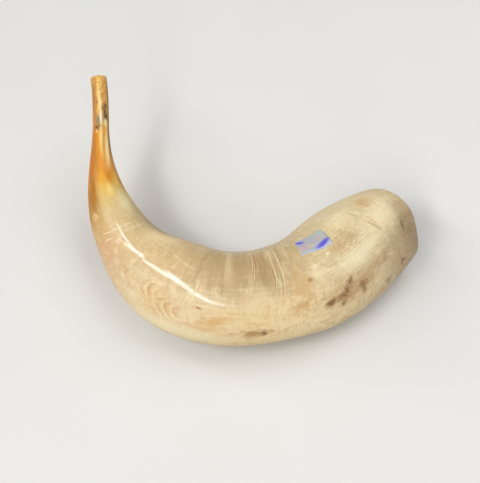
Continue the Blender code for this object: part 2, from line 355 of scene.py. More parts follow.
@dataclass
class HornForm:
    """The horn's outside and hollow, by the rule of the CAD source."""

    axis_length: float = 0.333
    bell_width: float = 0.0725
    tip_lift: float = 0.064
    lift_reach: float = 0.152
    lift_softness: float = 0.3
    bore: float = 0.0050
    cup: float = 0.0066
    cup_depth: float = 0.008
    rim_lean: float = 11.0
    rim_turn: float = 6.0
    axis_step: float = 0.0005
    box_rings: int = 600
    box_sides: int = 240
    shift: np.ndarray = field(default_factory=lambda: np.zeros(3))

    def __post_init__(self) -> None:
        """Lays the axis and sets the horn down on the floor with the origin under the middle of its box."""
        self.knots = np.array([section.place for section in SECTIONS]) * self.axis_length
        self.lay_axis()
        places = np.linspace(0, self.axis_length, self.box_rings)
        angles = np.linspace(0, 2 * math.pi, self.box_sides)
        points = self.points(self.outer_rings(places), angles).reshape(-1, 3)
        low, high = points.min(0), points.max(0)
        middle = (low + high) / 2
        self.shift = -np.array([middle[0], middle[1], low[2]])

    def along(self, name: str, places: np.ndarray) -> np.ndarray:
        """One of the sections' shares, read along the axis."""
        values = np.array([getattr(section, name) for section in SECTIONS])
        return smooth(self.knots, values, places)

    def half_sizes(self, places: np.ndarray) -> tuple[np.ndarray, np.ndarray]:
        """Half the outside's width and height along the axis."""
        widths = np.array([section.width for section in SECTIONS]) * self.bell_width / 2
        heights = widths * np.array([section.height for section in SECTIONS])
        return smooth(self.knots, widths, places), smooth(self.knots, heights, places)

    def lay_axis(self) -> None:
        """Lays the points of the axis at even steps, and the upward direction at each, without twist."""
        steps = np.arange(math.ceil(self.axis_length / self.axis_step) + 2)
        places = steps * self.axis_step
        heading = np.radians(self.along("heading", places[1:] - self.axis_step / 2))
        x = np.concatenate([[0.0], np.cumsum(np.cos(heading))]) * self.axis_step
        y = np.concatenate([[0.0], np.cumsum(np.sin(heading))]) * self.axis_step
        share = np.maximum(0.0, 1 - places / self.lift_reach)
        rise = np.hypot(share, self.lift_softness) - self.lift_softness
        whole_rise = math.hypot(1.0, self.lift_softness) - self.lift_softness
        resting = self.half_sizes(places)[1] * (1 - self.along("keel", places))
        self.axis_places = places
        self.axis = np.stack([x, y, resting + self.tip_lift * rise / whole_rise], 1)
        directions = np.gradient(self.axis, axis=0)
        self.directions = directions / np.linalg.norm(directions, axis=1)[:, None]
        ups = np.zeros_like(self.axis)
        up = np.array([0.0, 0.0, 1.0])
        for index in reversed(range(len(ups))):
            up = up - self.directions[index] * up.dot(self.directions[index])
            up /= np.linalg.norm(up)
            ups[index] = up
        self.ups = ups

    def read(self, table: np.ndarray, places: np.ndarray) -> np.ndarray:
        """A table of vectors along the axis, read at places."""
        return np.stack([np.interp(places, self.axis_places, table[:, column]) for column in range(3)], 1)

    def rings(self, places: np.ndarray, half_width: np.ndarray, half_height: np.ndarray,
              keel: np.ndarray) -> Rings:
        """Rings of given half sizes, slanted towards the saw cut at the rim.

        Args:
            places: Where the rings stand, in metres.
            half_width: Half of each ring's width.
            half_height: Half of each ring's height.
            keel: How far each ring's ridge stands proud.

        Returns:
            The rings.
        """
        direction = self.read(self.directions, places)
        up = self.read(self.ups, places)
        up = up - direction * (up * direction).sum(1)[:, None]
        up /= np.linalg.norm(up, axis=1)[:, None]
        side = np.cross(direction, up)
        swell = self.knots[-2]
        slant = (np.clip((places - swell) / (self.axis_length - swell), 0, 1) ** 2)[:, None]
        across = side + direction * slant * math.tan(math.radians(self.rim_turn))
        rise = up + direction * slant * math.tan(math.radians(self.rim_lean))
        centre = self.read(self.axis, places) + self.shift
        return Rings(places, centre, across * half_width[:, None], rise * half_height[:, None], keel)

    def outer_rings(self, places: np.ndarray, inset: float | np.ndarray = 0.0) -> Rings:
        """Rings of the outside, or inside it by the inset."""
        half_width, half_height = self.half_sizes(places)
        return self.rings(places, half_width - inset, half_height - inset, self.along("keel", places))

    def inner_rings(self, places: np.ndarray, outset: float | np.ndarray = 0.0) -> Rings:
        """Rings of the cup, the drilled bore and the natural hollow, or outside it by the outset."""
        half_width, half_height = self.half_sizes(places)
        walls = np.array([section.width * section.wall for section in SECTIONS]) * self.bell_width
        wall = smooth(self.knots, walls, places)
        bore = self.bore / 2
        round_part = np.maximum(bore, bore + (self.cup / 2 - bore) * (1 - places / self.cup_depth))
        half_width = np.maximum(round_part, half_width - wall)
        half_height = np.maximum(round_part, half_height - wall)
        keel = self.along("keel", places) * (1 - round_part / half_width)
        return self.rings(places, half_width + outset, half_height + outset, keel)

    def points(self, rings: Rings, angles: np.ndarray) -> np.ndarray:
        """The points of rings at angles round the axis, as an array of ring, angle and coordinate."""
        reach = 1 - rings.keel[:, None] * np.sin(3 * angles)[None]
        across = rings.across[:, None] * np.cos(angles)[None, :, None]
        rise = rings.rise[:, None] * np.sin(angles)[None, :, None]
        return rings.centre[:, None] + reach[..., None] * (across + rise)

    def surface(self, spots: Sequence[Spot]) -> np.ndarray:
        """Points of the outside at spots."""
        places = np.array([spot[0] for spot in spots]) * MM
        angles = np.radians([spot[1] for spot in spots])
        rings = self.outer_rings(places)
        reach = (1 - rings.keel * np.sin(3 * angles))[:, None]
        across = rings.across * np.cos(angles)[:, None]
        rise = rings.rise * np.sin(angles)[:, None]
        return rings.centre + reach * (across + rise)

    def girth_radius(self, places: np.ndarray) -> np.ndarray:
        """Radius of the round horn of the same section, along the axis."""
        half_width, half_height = self.half_sizes(places)
        return np.sqrt(half_width * half_height)

    def sheet(self, spot: Spot) -> Point:
        """Where a spot lies on the unrolled horn: its place, and its way round from the top."""
        place = spot[0] * MM
        radius = float(self.girth_radius(np.array([place]))[0])
        return place, radius * math.radians(spot[1] - 90), 0.0


class Grain(NamedTuple):
    """Sizes of the grain of horn, in metres."""

    bands: float
    fibres: float
    clouds: float


# Cells of the grain along, across and above the straightened horn, in pitches
BAND_CELLS = (1.0, 6.0, 6.0)
FIBRE_CELLS = (26.0, 1.0, 1.0)
CLOUD_CELLS = (1.5, 0.8, 0.8)
BAND_WANDER = (0.010, 0.0, 0.0)  # in metres


def grain_group() -> bpy.types.NodeTree:
    """The grain of horn on the straightened horn: bands across it, fibres along it, and clouds."""
    wiring = new_tree(
        "Horn Grain", "ShaderNodeTree",
        [("Straight", "Vector"), ("Band Pitch", "Float"), ("Fibre Pitch", "Float"), ("Cloud Size", "Float")],
        [("Bands", "Float"), ("Fibres", "Float"), ("Clouds", "Float")],
    )
    given = wiring.add("NodeGroupInput").outputs
    straight = given["Straight"]
    wander = wiring.noise(straight, scale=60.0, detail=1.0, seed=5.0)
    wavy = wiring.vector("ADD", straight, wiring.scaled(BAND_WANDER, wander))
    across = wiring.vector("DIVIDE", wavy, wiring.scaled(BAND_CELLS, given["Band Pitch"]))
    lengthwise = wiring.vector("DIVIDE", straight, wiring.scaled(FIBRE_CELLS, given["Fibre Pitch"]))
    clouded = wiring.vector("DIVIDE", straight, wiring.scaled(CLOUD_CELLS, given["Cloud Size"]))
    wiring.add("NodeGroupOutput", {
        "Bands": wiring.noise(across, detail=3.0, roughness=0.6, seed=1.0),
        "Fibres": wiring.noise(lengthwise, detail=3.0, roughness=0.6, seed=2.0),
        "Clouds": wiring.noise(clouded, detail=4.0, roughness=0.55, warp=1.2, seed=3.0),
    })
    return wiring.tree


def blot_group() -> bpy.types.NodeTree:
    """A frayed oval on the unrolled horn, 1 inside and 0 outside."""
    wiring = new_tree(
        "Horn Blot", "ShaderNodeTree",
        [("Sheet", "Vector"), ("Centre", "Vector"), ("Turn", "Float"), ("Reach", "Vector"),
         ("Softness", "Float"), ("Fray", "Float"), ("Raggedness", "Float")],
        [("Mask", "Float")],
    )
    given = wiring.add("NodeGroupInput").outputs
    turning = {"Vector": given["Sheet"], "Center": given["Centre"], "Angle": given["Turn"]}
    turned = wiring.add("ShaderNodeVectorRotate", turning, rotation_type="Z_AXIS", invert=True).outputs[0]
    offset = wiring.vector("DIVIDE", wiring.vector("SUBTRACT", turned, given["Centre"]), given["Reach"])
    shaken = wiring.linear(given["Fray"], given["Raggedness"], wiring.length(offset))
    outside = wiring.between(shaken, wiring.math("SUBTRACT", 1.0, given["Softness"]), 1.0)
    wiring.add("NodeGroupOutput", {"Mask": wiring.math("SUBTRACT", 1.0, outside)})
    return wiring.tree


class Groups:
    """The shader node groups that the finishes share."""

    def __init__(self) -> None:
        """Builds each group once."""
        self.grain = grain_group()
        self.blot = blot_group()

    def place_grain(self, wiring: Wiring, straight: Socket, grain: Grain) -> Any:
        """Places the grain group in a material.

        Args:
            wiring: The material's wiring.
            straight: Where the shaded point lies on the straightened horn.
            grain: The sizes of the grain.

        Returns:
            The group's outputs.
        """
        return wiring.group(self.grain, {
            "Straight": straight,
            "Band Pitch": grain.bands,
            "Fibre Pitch": grain.fibres,
            "Cloud Size": grain.clouds,
        })


class Unrolled(NamedTuple):
    """Sockets that say where a shaded point lies on the horn."""

    straight: Socket  # on the straightened round horn
    sheet: Socket  # its place, and its way round from the top
    place: Socket
    side: Socket  # 1 on the outer side of the bend, 0 on top, -1 on the inner side


def straighten(wiring: Wiring) -> Socket:
    """Where a shaded point lies on the straightened horn, by the attribute that the horn's mesh carries."""
    return wiring.add("ShaderNodeAttribute", attribute_name="straight").outputs["Vector"]


def unroll(wiring: Wiring) -> Unrolled:
    """Works out where a shaded point lies on the unrolled horn.

    Args:
        wiring: The material's wiring.

    Returns:
        The sockets.
    """
    straight = straighten(wiring)
    place, side, height = wiring.parts(straight)
    radius = wiring.length(wiring.joined(0.0, side, height))
    around = wiring.math("ARCTAN2", wiring.product(side, -1.0), height)
    sheet = wiring.joined(place, wiring.product(around, radius), 0.0)
    return Unrolled(straight, sheet, place, wiring.math("DIVIDE", side, radius))


class Mark(NamedTuple):
    """A patch of another colour on the horn, strongest in its middle."""

    spot: Spot
    along: float  # half its length in millimetres
    around: float  # half its breadth in millimetres
    colour: Colour
    strength: float = 0.7
    fray: Fray = Fray.FINE
    ragged: float = 1.0
    softness: float = 1.0
    turn: float = 0.0  # degrees from lengthwise


# The worked tip: rasped flanks, a pale worn facet whose stripe is partly a painted highlight, a dark brown
# inner side that is partly painted shade, a painted glint, and scorching where the hot tool stopped
TIP_MARKS = (
    Mark((14, 40), 24, 4.6, screen(160, 98, 40), 0.75, Fray.FINE, 1.2),
    Mark((10, 128), 18, 4.0, screen(220, 152, 76), 0.75, Fray.FINE, 1.2),
    # Dark brown along the inner side: partly the amber's own depth, partly painted shade
    Mark((14, 172), 20, 2.8, screen(122, 74, 30), 0.7, Fray.STREAK, 0.4),
    Mark((40, 172), 26, 3.6, screen(98, 54, 16), 0.9, Fray.STREAK, 0.4),
    # Pale stripe on the worn facet: partly the facet's own tone, partly a painted highlight
    Mark((20, 88), 17, 1.9, screen(255, 236, 176), 0.8, Fray.STREAK, 0.5, turn=5),
    Mark((22.5, 126), 7.0, 3.8, screen(120, 82, 62), 0.9, Fray.FINE, 1.6, turn=12),
    Mark((27.0, 138), 4.8, 3.2, screen(34, 20, 12), 0.95, Fray.FINE, 1.2),
    Mark((20, 130), 1.5, 1.0, screen(44, 28, 16), 0.9, Fray.FINE, 0.5),
    Mark((29.5, 76), 6.4, 5.0, screen(126, 104, 84), 0.85, Fray.FINE, 1.6),
    Mark((34, 70), 3.6, 4.2, screen(62, 42, 28), 0.9, Fray.FINE, 1.8),
    Mark((34.6, 58), 1.9, 1.6, screen(90, 62, 38), 0.85, Fray.FINE, 1.0),
    # A painted glint
    Mark((36.6, 62), 2.0, 1.2, screen(250, 226, 176), 0.8, Fray.FINE, 0.8),
)

# The amber neck: deep orange flanks, a browner inner side that is partly painted shade, and two pale facets
# that run out of the tip, whose pale stripes are partly painted highlights
NECK_MARKS = (
    Mark((54, 52), 32, 6.0, screen(178, 108, 0), 0.8, Fray.STREAK, 0.8),
    # Browner inner side: partly the amber's own depth, partly painted shade
    Mark((64, 172), 24, 5.0, screen(122, 68, 14), 0.7, Fray.STREAK, 0.5),
    # The two pale stripes on the facets: partly the facets' own tone, partly painted highlights
    Mark((41, 94), 21, 2.0, screen(255, 228, 150), 0.7, Fray.STREAK, 0.5),
    Mark((28, 93), 6.5, 1.4, screen(255, 250, 226), 0.95, Fray.STREAK, 0.3),
    Mark((50, 128), 26, 2.8, screen(255, 234, 164), 0.95, Fray.STREAK, 0.6),
    Mark((31, 129), 4.2, 2.0, screen(255, 236, 176), 0.95, Fray.FINE, 0.4),
    Mark((42, 111), 18, 1.4, screen(196, 130, 30), 0.7, Fray.STREAK, 0.4),
    Mark((64, 93), 10, 3.4, screen(228, 146, 66), 0.5, Fray.FINE, 1.0),
    Mark((71, 108), 12, 4.4, screen(208, 126, 0), 0.85, Fray.STREAK, 0.8),
    Mark((77, 46), 20, 4.6, screen(160, 102, 10), 0.75, Fray.STREAK, 0.8),
    Mark((84, 30), 14, 6.0, screen(168, 112, 34), 0.85, Fray.STREAK, 0.8),
    Mark((94, 124), 19, 8.5, screen(255, 238, 188), 0.8, Fray.STREAK, 0.6),
    Mark((76, 130), 11, 4.0, screen(246, 204, 96), 0.7, Fray.STREAK, 0.6),
    Mark((83, 98), 10, 4.0, screen(255, 224, 132), 0.65, Fray.STREAK, 0.6),
    Mark((97.0, 37), 4.6, 3.8, screen(226, 186, 130), 0.7, Fray.FINE, 1.0, 0.6),
)

# The bend: a rosy flank, a pale ringed spot, an orange flank where growth was uneven, and painted shade along
# the inner side
BEND_MARKS = (
    Mark((126, 42), 24, 15, screen(216, 170, 126), 0.6, Fray.BROAD, 1.2),
    Mark((123, 67.5), 2.8, 2.7, screen(240, 218, 182), 0.75, Fray.FINE, 0.2, 0.5),
    Mark((123.2, 67.3), 1.5, 1.5, screen(210, 172, 128), 0.8, Fray.FINE, 0.2),
    Mark((127.5, 53), 4.6, 3.0, screen(238, 214, 176), 0.55, Fray.FINE, 1.8),
    Mark((133, 42), 4.2, 3.2, screen(236, 210, 170), 0.5, Fray.FINE, 1.8),
    Mark((169, 30), 24, 17, screen(226, 186, 130), 0.5, Fray.BROAD, 1.4),
    Mark((146, 116), 28, 13, screen(250, 224, 168), 0.8, Fray.BROAD, 0.8),
    Mark((168, 57), 2.6, 2.4, screen(244, 222, 180), 0.7, Fray.FINE, 1.4),
    Mark((189.5, 43), 2.6, 1.8, screen(172, 112, 62), 0.75, Fray.FINE, 1.4),
    Mark((198, 27), 13, 7.0, screen(222, 168, 92), 0.65, Fray.STREAK, 2.2, turn=25),
    Mark((193, 14), 15, 5.0, screen(220, 168, 112), 0.5, Fray.CLOT, 2.0),
    Mark((176, -4), 44, 9, screen(244, 228, 184), 0.8, Fray.BROAD, 0.8),
    # Painted shade: a browner inner side of the bend
    Mark((122, 162), 46, 16, screen(156, 120, 68), 0.6, Fray.BROAD, 0.6),
)

# Where the bend's uneven growth shows as flames with pale edges
FLAME_MARKS = (
    Mark((162, 42), 9, 12, screen(200, 144, 84), 0.6, Fray.CLOT, 1.6),
    Mark((173, 28), 12, 14, screen(200, 146, 86), 0.6, Fray.CLOT, 1.6),
)

# The belly: a smoky top, darker partly through painted shade, with darker growth bands, an orange cloud, and
# a brown stain low on the side
BELLY_MARKS = (
    # Smoky top: partly the horn's own translucent grey, partly painted shade
    Mark((214, 96), 62, 27, screen(180, 150, 104), 0.65, Fray.BROAD, 0.8),
    Mark((194, 108), 7, 22, screen(184, 154, 106), 0.5, Fray.BAND, 2.4),
    Mark((210, 102), 8, 23, screen(178, 148, 102), 0.55, Fray.BAND, 2.4),
    Mark((226, 88), 7, 21, screen(164, 132, 86), 0.65, Fray.BAND, 2.4),
    Mark((203, 106), 4, 26, screen(226, 202, 156), 0.6, Fray.BAND, 1.6),
    Mark((246, 58), 12, 20, screen(214, 164, 100), 0.45, Fray.CLOT, 2.4),
    Mark((243, 36), 12, 10, screen(206, 154, 90), 0.5, Fray.CLOT, 2.4, turn=40),
    Mark((257, 70), 11, 8, screen(255, 238, 194), 0.5, Fray.STREAK, 1.2),
    Mark((221, 58), 14, 12, screen(250, 230, 184), 0.4, Fray.STREAK, 1.2),
    Mark((232, 112), 5, 9, screen(234, 212, 172), 0.55, Fray.BAND, 1.4),
    Mark((216, 8), 13, 4.6, screen(170, 118, 66), 0.75, Fray.CLOT, 2.4),
    Mark((221.5, 6.5), 3.2, 2.4, screen(122, 82, 48), 0.8, Fray.FINE, 1.8),
    Mark((251.5, 66.5), 2.6, 2.2, screen(164, 110, 60), 0.7, Fray.FINE, 1.4),
)

# The bell: a pale streak that is partly painted light on a swell, haze round a broken brown stain, greyer
# horn towards the rim, and painted glints by the label
BELL_MARKS = (
    # Pale streak: partly the horn's own paler tone, partly painted light where the bell swells
    Mark((283, 63), 28, 10, screen(255, 244, 206), 0.65, Fray.STREAK, 1.2),
    Mark((312, 80), 26, 13, screen(255, 240, 200), 0.55, Fray.STREAK, 1.0, turn=34),
    Mark((292, 108), 16, 10, screen(244, 230, 194), 0.35, Fray.STREAK, 1.4),
    Mark((286, 84), 10, 9, screen(174, 136, 86), 0.6, Fray.FINE, 2.2),
    Mark((276, 84), 9, 8, screen(180, 142, 92), 0.6, Fray.FINE, 2.2),
    Mark((269, 31), 20, 12, screen(188, 142, 92), 0.6, Fray.CLOT, 2.2),
    Mark((280, 35), 12, 11, screen(192, 154, 110), 0.4, Fray.CLOT, 1.8),
    Mark((262, 29), 9.5, 5.5, screen(146, 96, 48), 0.8, Fray.CLOT, 2.4),
    Mark((257.5, 28), 3.8, 2.8, screen(110, 66, 26), 0.8, Fray.FINE, 2.0),
    Mark((264.5, 18), 3.6, 2.6, screen(126, 76, 28), 0.75, Fray.FINE, 2.2),
    Mark((267.5, 34), 6.4, 3.2, screen(124, 78, 34), 0.8, Fray.FINE, 2.2, turn=60),
    Mark((271, 44), 5.2, 2.8, screen(122, 78, 36), 0.75, Fray.FINE, 2.0, turn=70),
    Mark((277, 29), 5.0, 4.4, screen(142, 94, 46), 0.7, Fray.FINE, 2.4),
    Mark((277, 19.5), 4.4, 2.4, screen(124, 82, 40), 0.65, Fray.FINE, 2.2, turn=80),
    Mark((296, 5), 5.0, 4.0, screen(152, 112, 78), 0.7, Fray.FINE, 2.0),
    Mark((299, 42), 6.5, 4.5, screen(184, 148, 108), 0.55, Fray.CLOT, 2.0, turn=80),
    Mark((292, 39), 5.0, 5.0, screen(190, 154, 112), 0.5, Fray.CLOT, 2.0),
    Mark((326, 46), 13, 32, screen(156, 132, 98), 0.75, Fray.BROAD, 0.9),
    Mark((320.5, 56), 7, 1.8, screen(134, 98, 60), 0.8, Fray.FINE, 1.0, turn=80),
    Mark((313, 9), 4.0, 4.6, screen(128, 86, 50), 0.8, Fray.FINE, 1.2),
    Mark((311, 107), 9, 8, screen(200, 158, 96), 0.55, Fray.BAND, 3.0),
    Mark((304, 80), 2.6, 7.0, screen(206, 156, 88), 0.4, Fray.FINE, 1.4),
    # Painted glints by the label
    Mark((268, 83), 2.4, 1.6, screen(246, 232, 200), 0.6, Fray.FINE, 3.0),
    Mark((257, 78), 3.4, 2.4, screen(246, 230, 196), 0.6, Fray.FINE, 3.0),
)


class Veil(NamedTuple):
    """A thin layer of another colour, laid where a pattern goes from one value to another."""

    colour: Colour
    bare: float  # the pattern's value where the layer starts
    whole: float  # and where it is whole
    share: float  # how much it then covers


@dataclass(frozen=True)
class HornFinish:
    """Polished and lacquered horn: yellow at the tip, amber in the neck, cream from the bend to the bell.

    Stops are in millimetres along the axis, and spans along it in metres.
    """

    # Where the top and the outer side differ in tone, the difference is partly the horn's own and partly
    # painted light and shade
    top_stops: Stops = (
        (0, screen(240, 196, 100)),
        (26, screen(238, 190, 90)),
        (36, screen(230, 160, 44)),
        (60, screen(228, 150, 26)),
        (72, screen(230, 166, 46)),
        (84, screen(218, 182, 98)),
        (98, screen(214, 188, 134)),
        (140, screen(214, 186, 138)),
        (170, screen(214, 184, 136)),
        (205, screen(196, 172, 130)),
        (240, screen(196, 172, 130)),
        (262, screen(206, 182, 136)),
        (290, screen(218, 198, 154)),
        (312, screen(220, 198, 154)),
        (326, screen(212, 188, 146)),
        (333, screen(196, 172, 134)),
    )
    side_stops: Stops = (
        (0, screen(228, 174, 74)),
        (28, screen(218, 150, 50)),
        (40, screen(208, 124, 0)),
        (64, screen(204, 120, 0)),
        (80, screen(196, 126, 20)),
        (92, screen(178, 126, 34)),
        (104, screen(206, 166, 110)),
        (125, screen(212, 178, 134)),
        (150, screen(224, 202, 158)),
        (180, screen(236, 214, 172)),
        (215, screen(240, 212, 158)),
        (245, screen(246, 222, 172)),
        (270, screen(232, 208, 162)),
        (295, screen(212, 188, 146)),
        (312, screen(192, 168, 128)),
        (325, screen(180, 156, 120)),
        (333, screen(170, 146, 112)),
    )
    feather: float = 0.05  # how far fibres pull the colours along, as a share of the axis
    side_edge: Span = (0.2, 0.8)  # from the colours of the top to those of the outer side
    side_feather: float = 0.4  # how far fibres pull that edge about

    # Grain, and the layers that it lays over the plain colours
    coarse: Grain = Grain(bands=0.0040, fibres=0.0013, clouds=0.007)
    fine: Grain = Grain(bands=0.0013, fibres=0.0013, clouds=0.007)
    cream: Colour = screen(248, 232, 190)
    brown: Colour = screen(150, 116, 74)
    cloud: Veil = Veil(screen(210, 156, 92), 0.5, 0.7, 0.15)
    cloud_side_gain: float = 2.0
    cream_cloud: Veil = Veil(cream, 0.48, 0.3, 0.4)
    dark_band: Veil = Veil(screen(168, 136, 92), 0.5, 0.7, 0.5)
    pale_band: Veil = Veil(screen(236, 214, 168), 0.48, 0.3, 0.5)
    fibre: Veil = Veil(cream, 0.5, 0.75, 0.3)
    pore: Veil = Veil(brown, 0.5, 0.75, 0.22)
    pore_scale: float = 900.0
    fine_dark: Veil = Veil(brown, 0.5, 0.7, 0.20)
    fine_pale: Veil = Veil(cream, 0.48, 0.3, 0.25)
    rasp: Veil = Veil(screen(160, 88, 18), 0.48, 0.56, 0.6)
    rasp_scale: float = 600.0

    # Where along the horn, and how far down its side, the layers lie
    tip_end: Span = (0.036, 0.026)
    cream_start: Span = (0.09, 0.12)
    bands_rise: Span = (0.14, 0.19)
    bands_fall: Span = (0.24, 0.275)
    bands_side: Span = (0.75, 0.3)

    # Marks, and flames whose teeth run along the horn
    marks: tuple[Mark, ...] = TIP_MARKS + NECK_MARKS + BEND_MARKS + BELLY_MARKS + BELL_MARKS
    flames: tuple[Mark, ...] = FLAME_MARKS
    flame_pitch: float = 0.0050
    flame_bow: float = 90.0  # how far they bow, by the square of the way round
    flame_cells: Point = (3.0, 1.5, 1.5)  # of their swirl, in pitches
    flame_swirl: float = 1.6  # in pitches
    flame_body: tuple[Span, Span] = ((0.1, 0.4), (0.4, 1.0))
    flame_edge: tuple[Span, Span] = ((0.0, 0.08), (0.08, 0.3))
    flame_edge_share: float = 0.8

    # Gloss of the horn, and of the lacquer over it
    roughness: float = 0.36
    cloud_roughness: float = 0.25
    tip_roughness: float = 0.12
    ior: float = 1.54
    specular: float = 0.25
    thin_coat: float = 0.1
    coat_rise: Span = (0.096, 0.108)
    coat_fall: Span = (0.205, 0.240)
    coat_edge: Span = (0.0042, 0.0003)  # away from the crest's line
    coat_ior: float = 1.7
    coat_roughness: float = 0.14
    subsurface: float = 0.12
    subsurface_radius: Point = (1.0, 0.6, 0.3)
    subsurface_scale: float = 0.004

    # Relief of the growth bands and the rasp marks
    relief_start: Span = (0.11, 0.18)
    rasp_relief: float = 2.0
    relief: float = 0.12
    relief_depth: float = 0.0004

    def material(self, groups: Groups, form: HornForm) -> bpy.types.Material:
        """The outside's material.

        Args:
            groups: The shared node groups.
            form: The horn, which says where the marks lie.

        Returns:
            The material.
        """
        paint = HornPaint(self, groups, form)
        paint.lay_ground()
        paint.lay_growth()
        paint.lay_marks()
        paint.lay_flames()
        paint.give_gloss()
        paint.give_relief()
        return paint.material


class HornPaint:
    """Paints the lacquered horn's material, layer over layer."""

    def __init__(self, finish: HornFinish, groups: Groups, form: HornForm) -> None:
        """Starts the material with the patterns that its layers share.

        Args:
            finish: The horn's finish.
            groups: The shared node groups.
            form: The horn, which says where the marks lie.
        """
        self.finish = finish
        self.groups = groups
        self.form = form
        self.material, self.wiring, self.shader = new_material("lacquered_horn")
        self.where = unroll(self.wiring)
        straight = self.where.straight
        self.grain = groups.place_grain(self.wiring, straight, finish.coarse)
        self.rasp = self.wiring.noise(straight, finish.rasp_scale, detail=3.0, roughness=0.7, seed=7.0)
        self.tip = self.wiring.between(self.where.place, *finish.tip_end)
        self.loose = self.wiring.math("SUBTRACT", self.grain["Fibres"], 0.5)
        side = self.wiring.linear(self.loose, finish.side_feather, self.where.side)
        self.outer = self.wiring.between(side, *finish.side_edge)
        self.frays = {fray: self.fray(fray) for fray in Fray}
        self.colour: Any = finish.cream

    def fray(self, fray: Fray) -> Socket:
        """Noise round zero for one way that a mark's edge can fray."""
        along, around = (size * MM for size in fray.value)
        cells = self.wiring.vector("DIVIDE", self.where.straight, (along, around, around))
        noise = self.wiring.noise(cells, detail=3.0, roughness=0.65, warp=0.4)
        return self.wiring.math("SUBTRACT", noise, 0.5)

    def lay(self, colour: Any, *shares: Any) -> None:
        """Lays a colour over what is painted so far, by its shares multiplied together."""
        self.colour = self.wiring.lay(self.wiring.product(*shares), self.colour, colour)

    def lay_veil(self, veil: Veil, pattern: Socket, *masks: Socket) -> None:
        """Lays a veil by its pattern, where the masks let it through."""
        self.lay(veil.colour, self.wiring.between(pattern, veil.bare, veil.whole), *masks, veil.share)

    def lay_ground(self) -> None:
        """Lays the plain colours along the top and the outer side of the horn; their difference is partly
        painted light and shade.
        """
        share = self.wiring.math("DIVIDE", self.where.place, self.form.axis_length)
        share = self.wiring.linear(self.loose, self.finish.feather, share)

        def ramp(stops: Stops) -> Socket:
            """Colours along the horn, whose stops are in millimetres."""
            scale = MM / self.form.axis_length
            return self.wiring.ramp(share, tuple((place * scale, colour) for place, colour in stops))

        self.colour = ramp(self.finish.top_stops)
        self.lay(ramp(self.finish.side_stops), self.outer)

    def lay_growth(self) -> None:
        """Lays clouds, growth bands, fibres and pores over the horn, and rasp marks over its tip."""
        wiring, finish, where = self.wiring, self.finish, self.where
        clouds, bands = self.grain["Clouds"], self.grain["Bands"]
        creamy = wiring.between(where.place, *finish.cream_start)
        uneven = wiring.linear(self.outer, finish.cloud_side_gain, 1.0)
        self.lay_veil(finish.cloud, clouds, creamy, uneven)
        self.lay_veil(finish.cream_cloud, clouds, creamy)
        banded = wiring.within(where.place, finish.bands_rise, finish.bands_fall)
        banded = wiring.product(wiring.between(where.side, *finish.bands_side), banded)
        self.lay_veil(finish.dark_band, bands, banded)
        self.lay_veil(finish.pale_band, bands, banded)
        self.lay_veil(finish.fibre, self.grain["Fibres"])
        pores = wiring.noise(where.straight, finish.pore_scale, detail=3.0, roughness=0.7, seed=9.0)
        self.lay_veil(finish.pore, pores)
        fine_bands = self.groups.place_grain(wiring, where.straight, finish.fine)["Bands"]
        self.lay_veil(finish.fine_dark, fine_bands, creamy)
        self.lay_veil(finish.fine_pale, fine_bands, creamy)
        self.lay_veil(finish.rasp, self.rasp, self.tip)

    def mask(self, mark: Mark) -> Socket:
        """How strongly a mark shows at the shaded point."""
        blot = self.wiring.group(self.groups.blot, {
            "Sheet": self.where.sheet,
            "Centre": self.form.sheet(mark.spot),
            "Turn": math.radians(mark.turn),
            "Reach": (mark.along * MM, mark.around * MM, 1.0),
            "Softness": mark.softness,
            "Fray": self.frays[mark.fray],
            "Raggedness": mark.ragged,
        })
        return self.wiring.product(blot["Mask"], mark.strength)

    def lay_marks(self) -> None:
        """Lays the marks in order."""
        for mark in self.finish.marks:
            self.lay(mark.colour, self.mask(mark))

    def flame_teeth(self, mark: Mark) -> Socket:
        """Teeth from 0 to 1 along the horn, which bow round a mark's middle and swirl."""
        wiring, finish = self.wiring, self.finish
        aside = wiring.math("SUBTRACT", wiring.parts(self.where.sheet)[1], self.form.sheet(mark.spot)[1])
        bow = wiring.scaled((-finish.flame_bow, 0.0, 0.0), wiring.product(aside, aside))
        bowed = wiring.vector("ADD", self.where.straight, bow)
        pitches = wiring.vector("DIVIDE", bowed, (finish.flame_pitch, finish.flame_pitch, finish.flame_pitch))
        swirl = wiring.noise(wiring.vector("DIVIDE", pitches, finish.flame_cells), detail=1.0, seed=8.0)
        turns = wiring.linear(swirl, finish.flame_swirl, wiring.parts(pitches)[0])
        return wiring.math("FRACT", turns)

    def lay_flames(self) -> None:
        """Lays flames with pale edges where growth was uneven."""
        finish = self.finish
        for mark in finish.flames:
            teeth = self.flame_teeth(mark)
            mask = self.mask(mark)
            body = self.wiring.within(teeth, *finish.flame_body)
            edge = self.wiring.within(teeth, *finish.flame_edge)
            self.lay(mark.colour, body, mask)
            self.lay(finish.cream, edge, mask, finish.flame_edge_share)

    def give_gloss(self) -> None:
        """Joins the paint to the shader, with lacquer that is thick along the crest and thin elsewhere."""
        wiring, finish = self.wiring, self.finish
        uneven = wiring.linear(self.grain["Clouds"], finish.cloud_roughness, finish.roughness)
        gap = wiring.add("ShaderNodeAttribute", attribute_name="crest_gap").outputs["Fac"]
        coated = wiring.within(self.where.place, finish.coat_rise, finish.coat_fall)
        coated = wiring.product(coated, wiring.between(gap, *finish.coat_edge))
        wiring.give(self.shader, {
            "Base Color": self.colour,
            "Roughness": wiring.linear(self.tip, finish.tip_roughness, uneven),
            "IOR": finish.ior,
            "Specular IOR Level": finish.specular,
            "Coat Weight": wiring.linear(coated, 1.0 - finish.thin_coat, finish.thin_coat),
            "Coat IOR": finish.coat_ior,
            "Coat Roughness": finish.coat_roughness,
            "Subsurface Weight": finish.subsurface,
            "Subsurface Radius": finish.subsurface_radius,
            "Subsurface Scale": finish.subsurface_scale,
        })

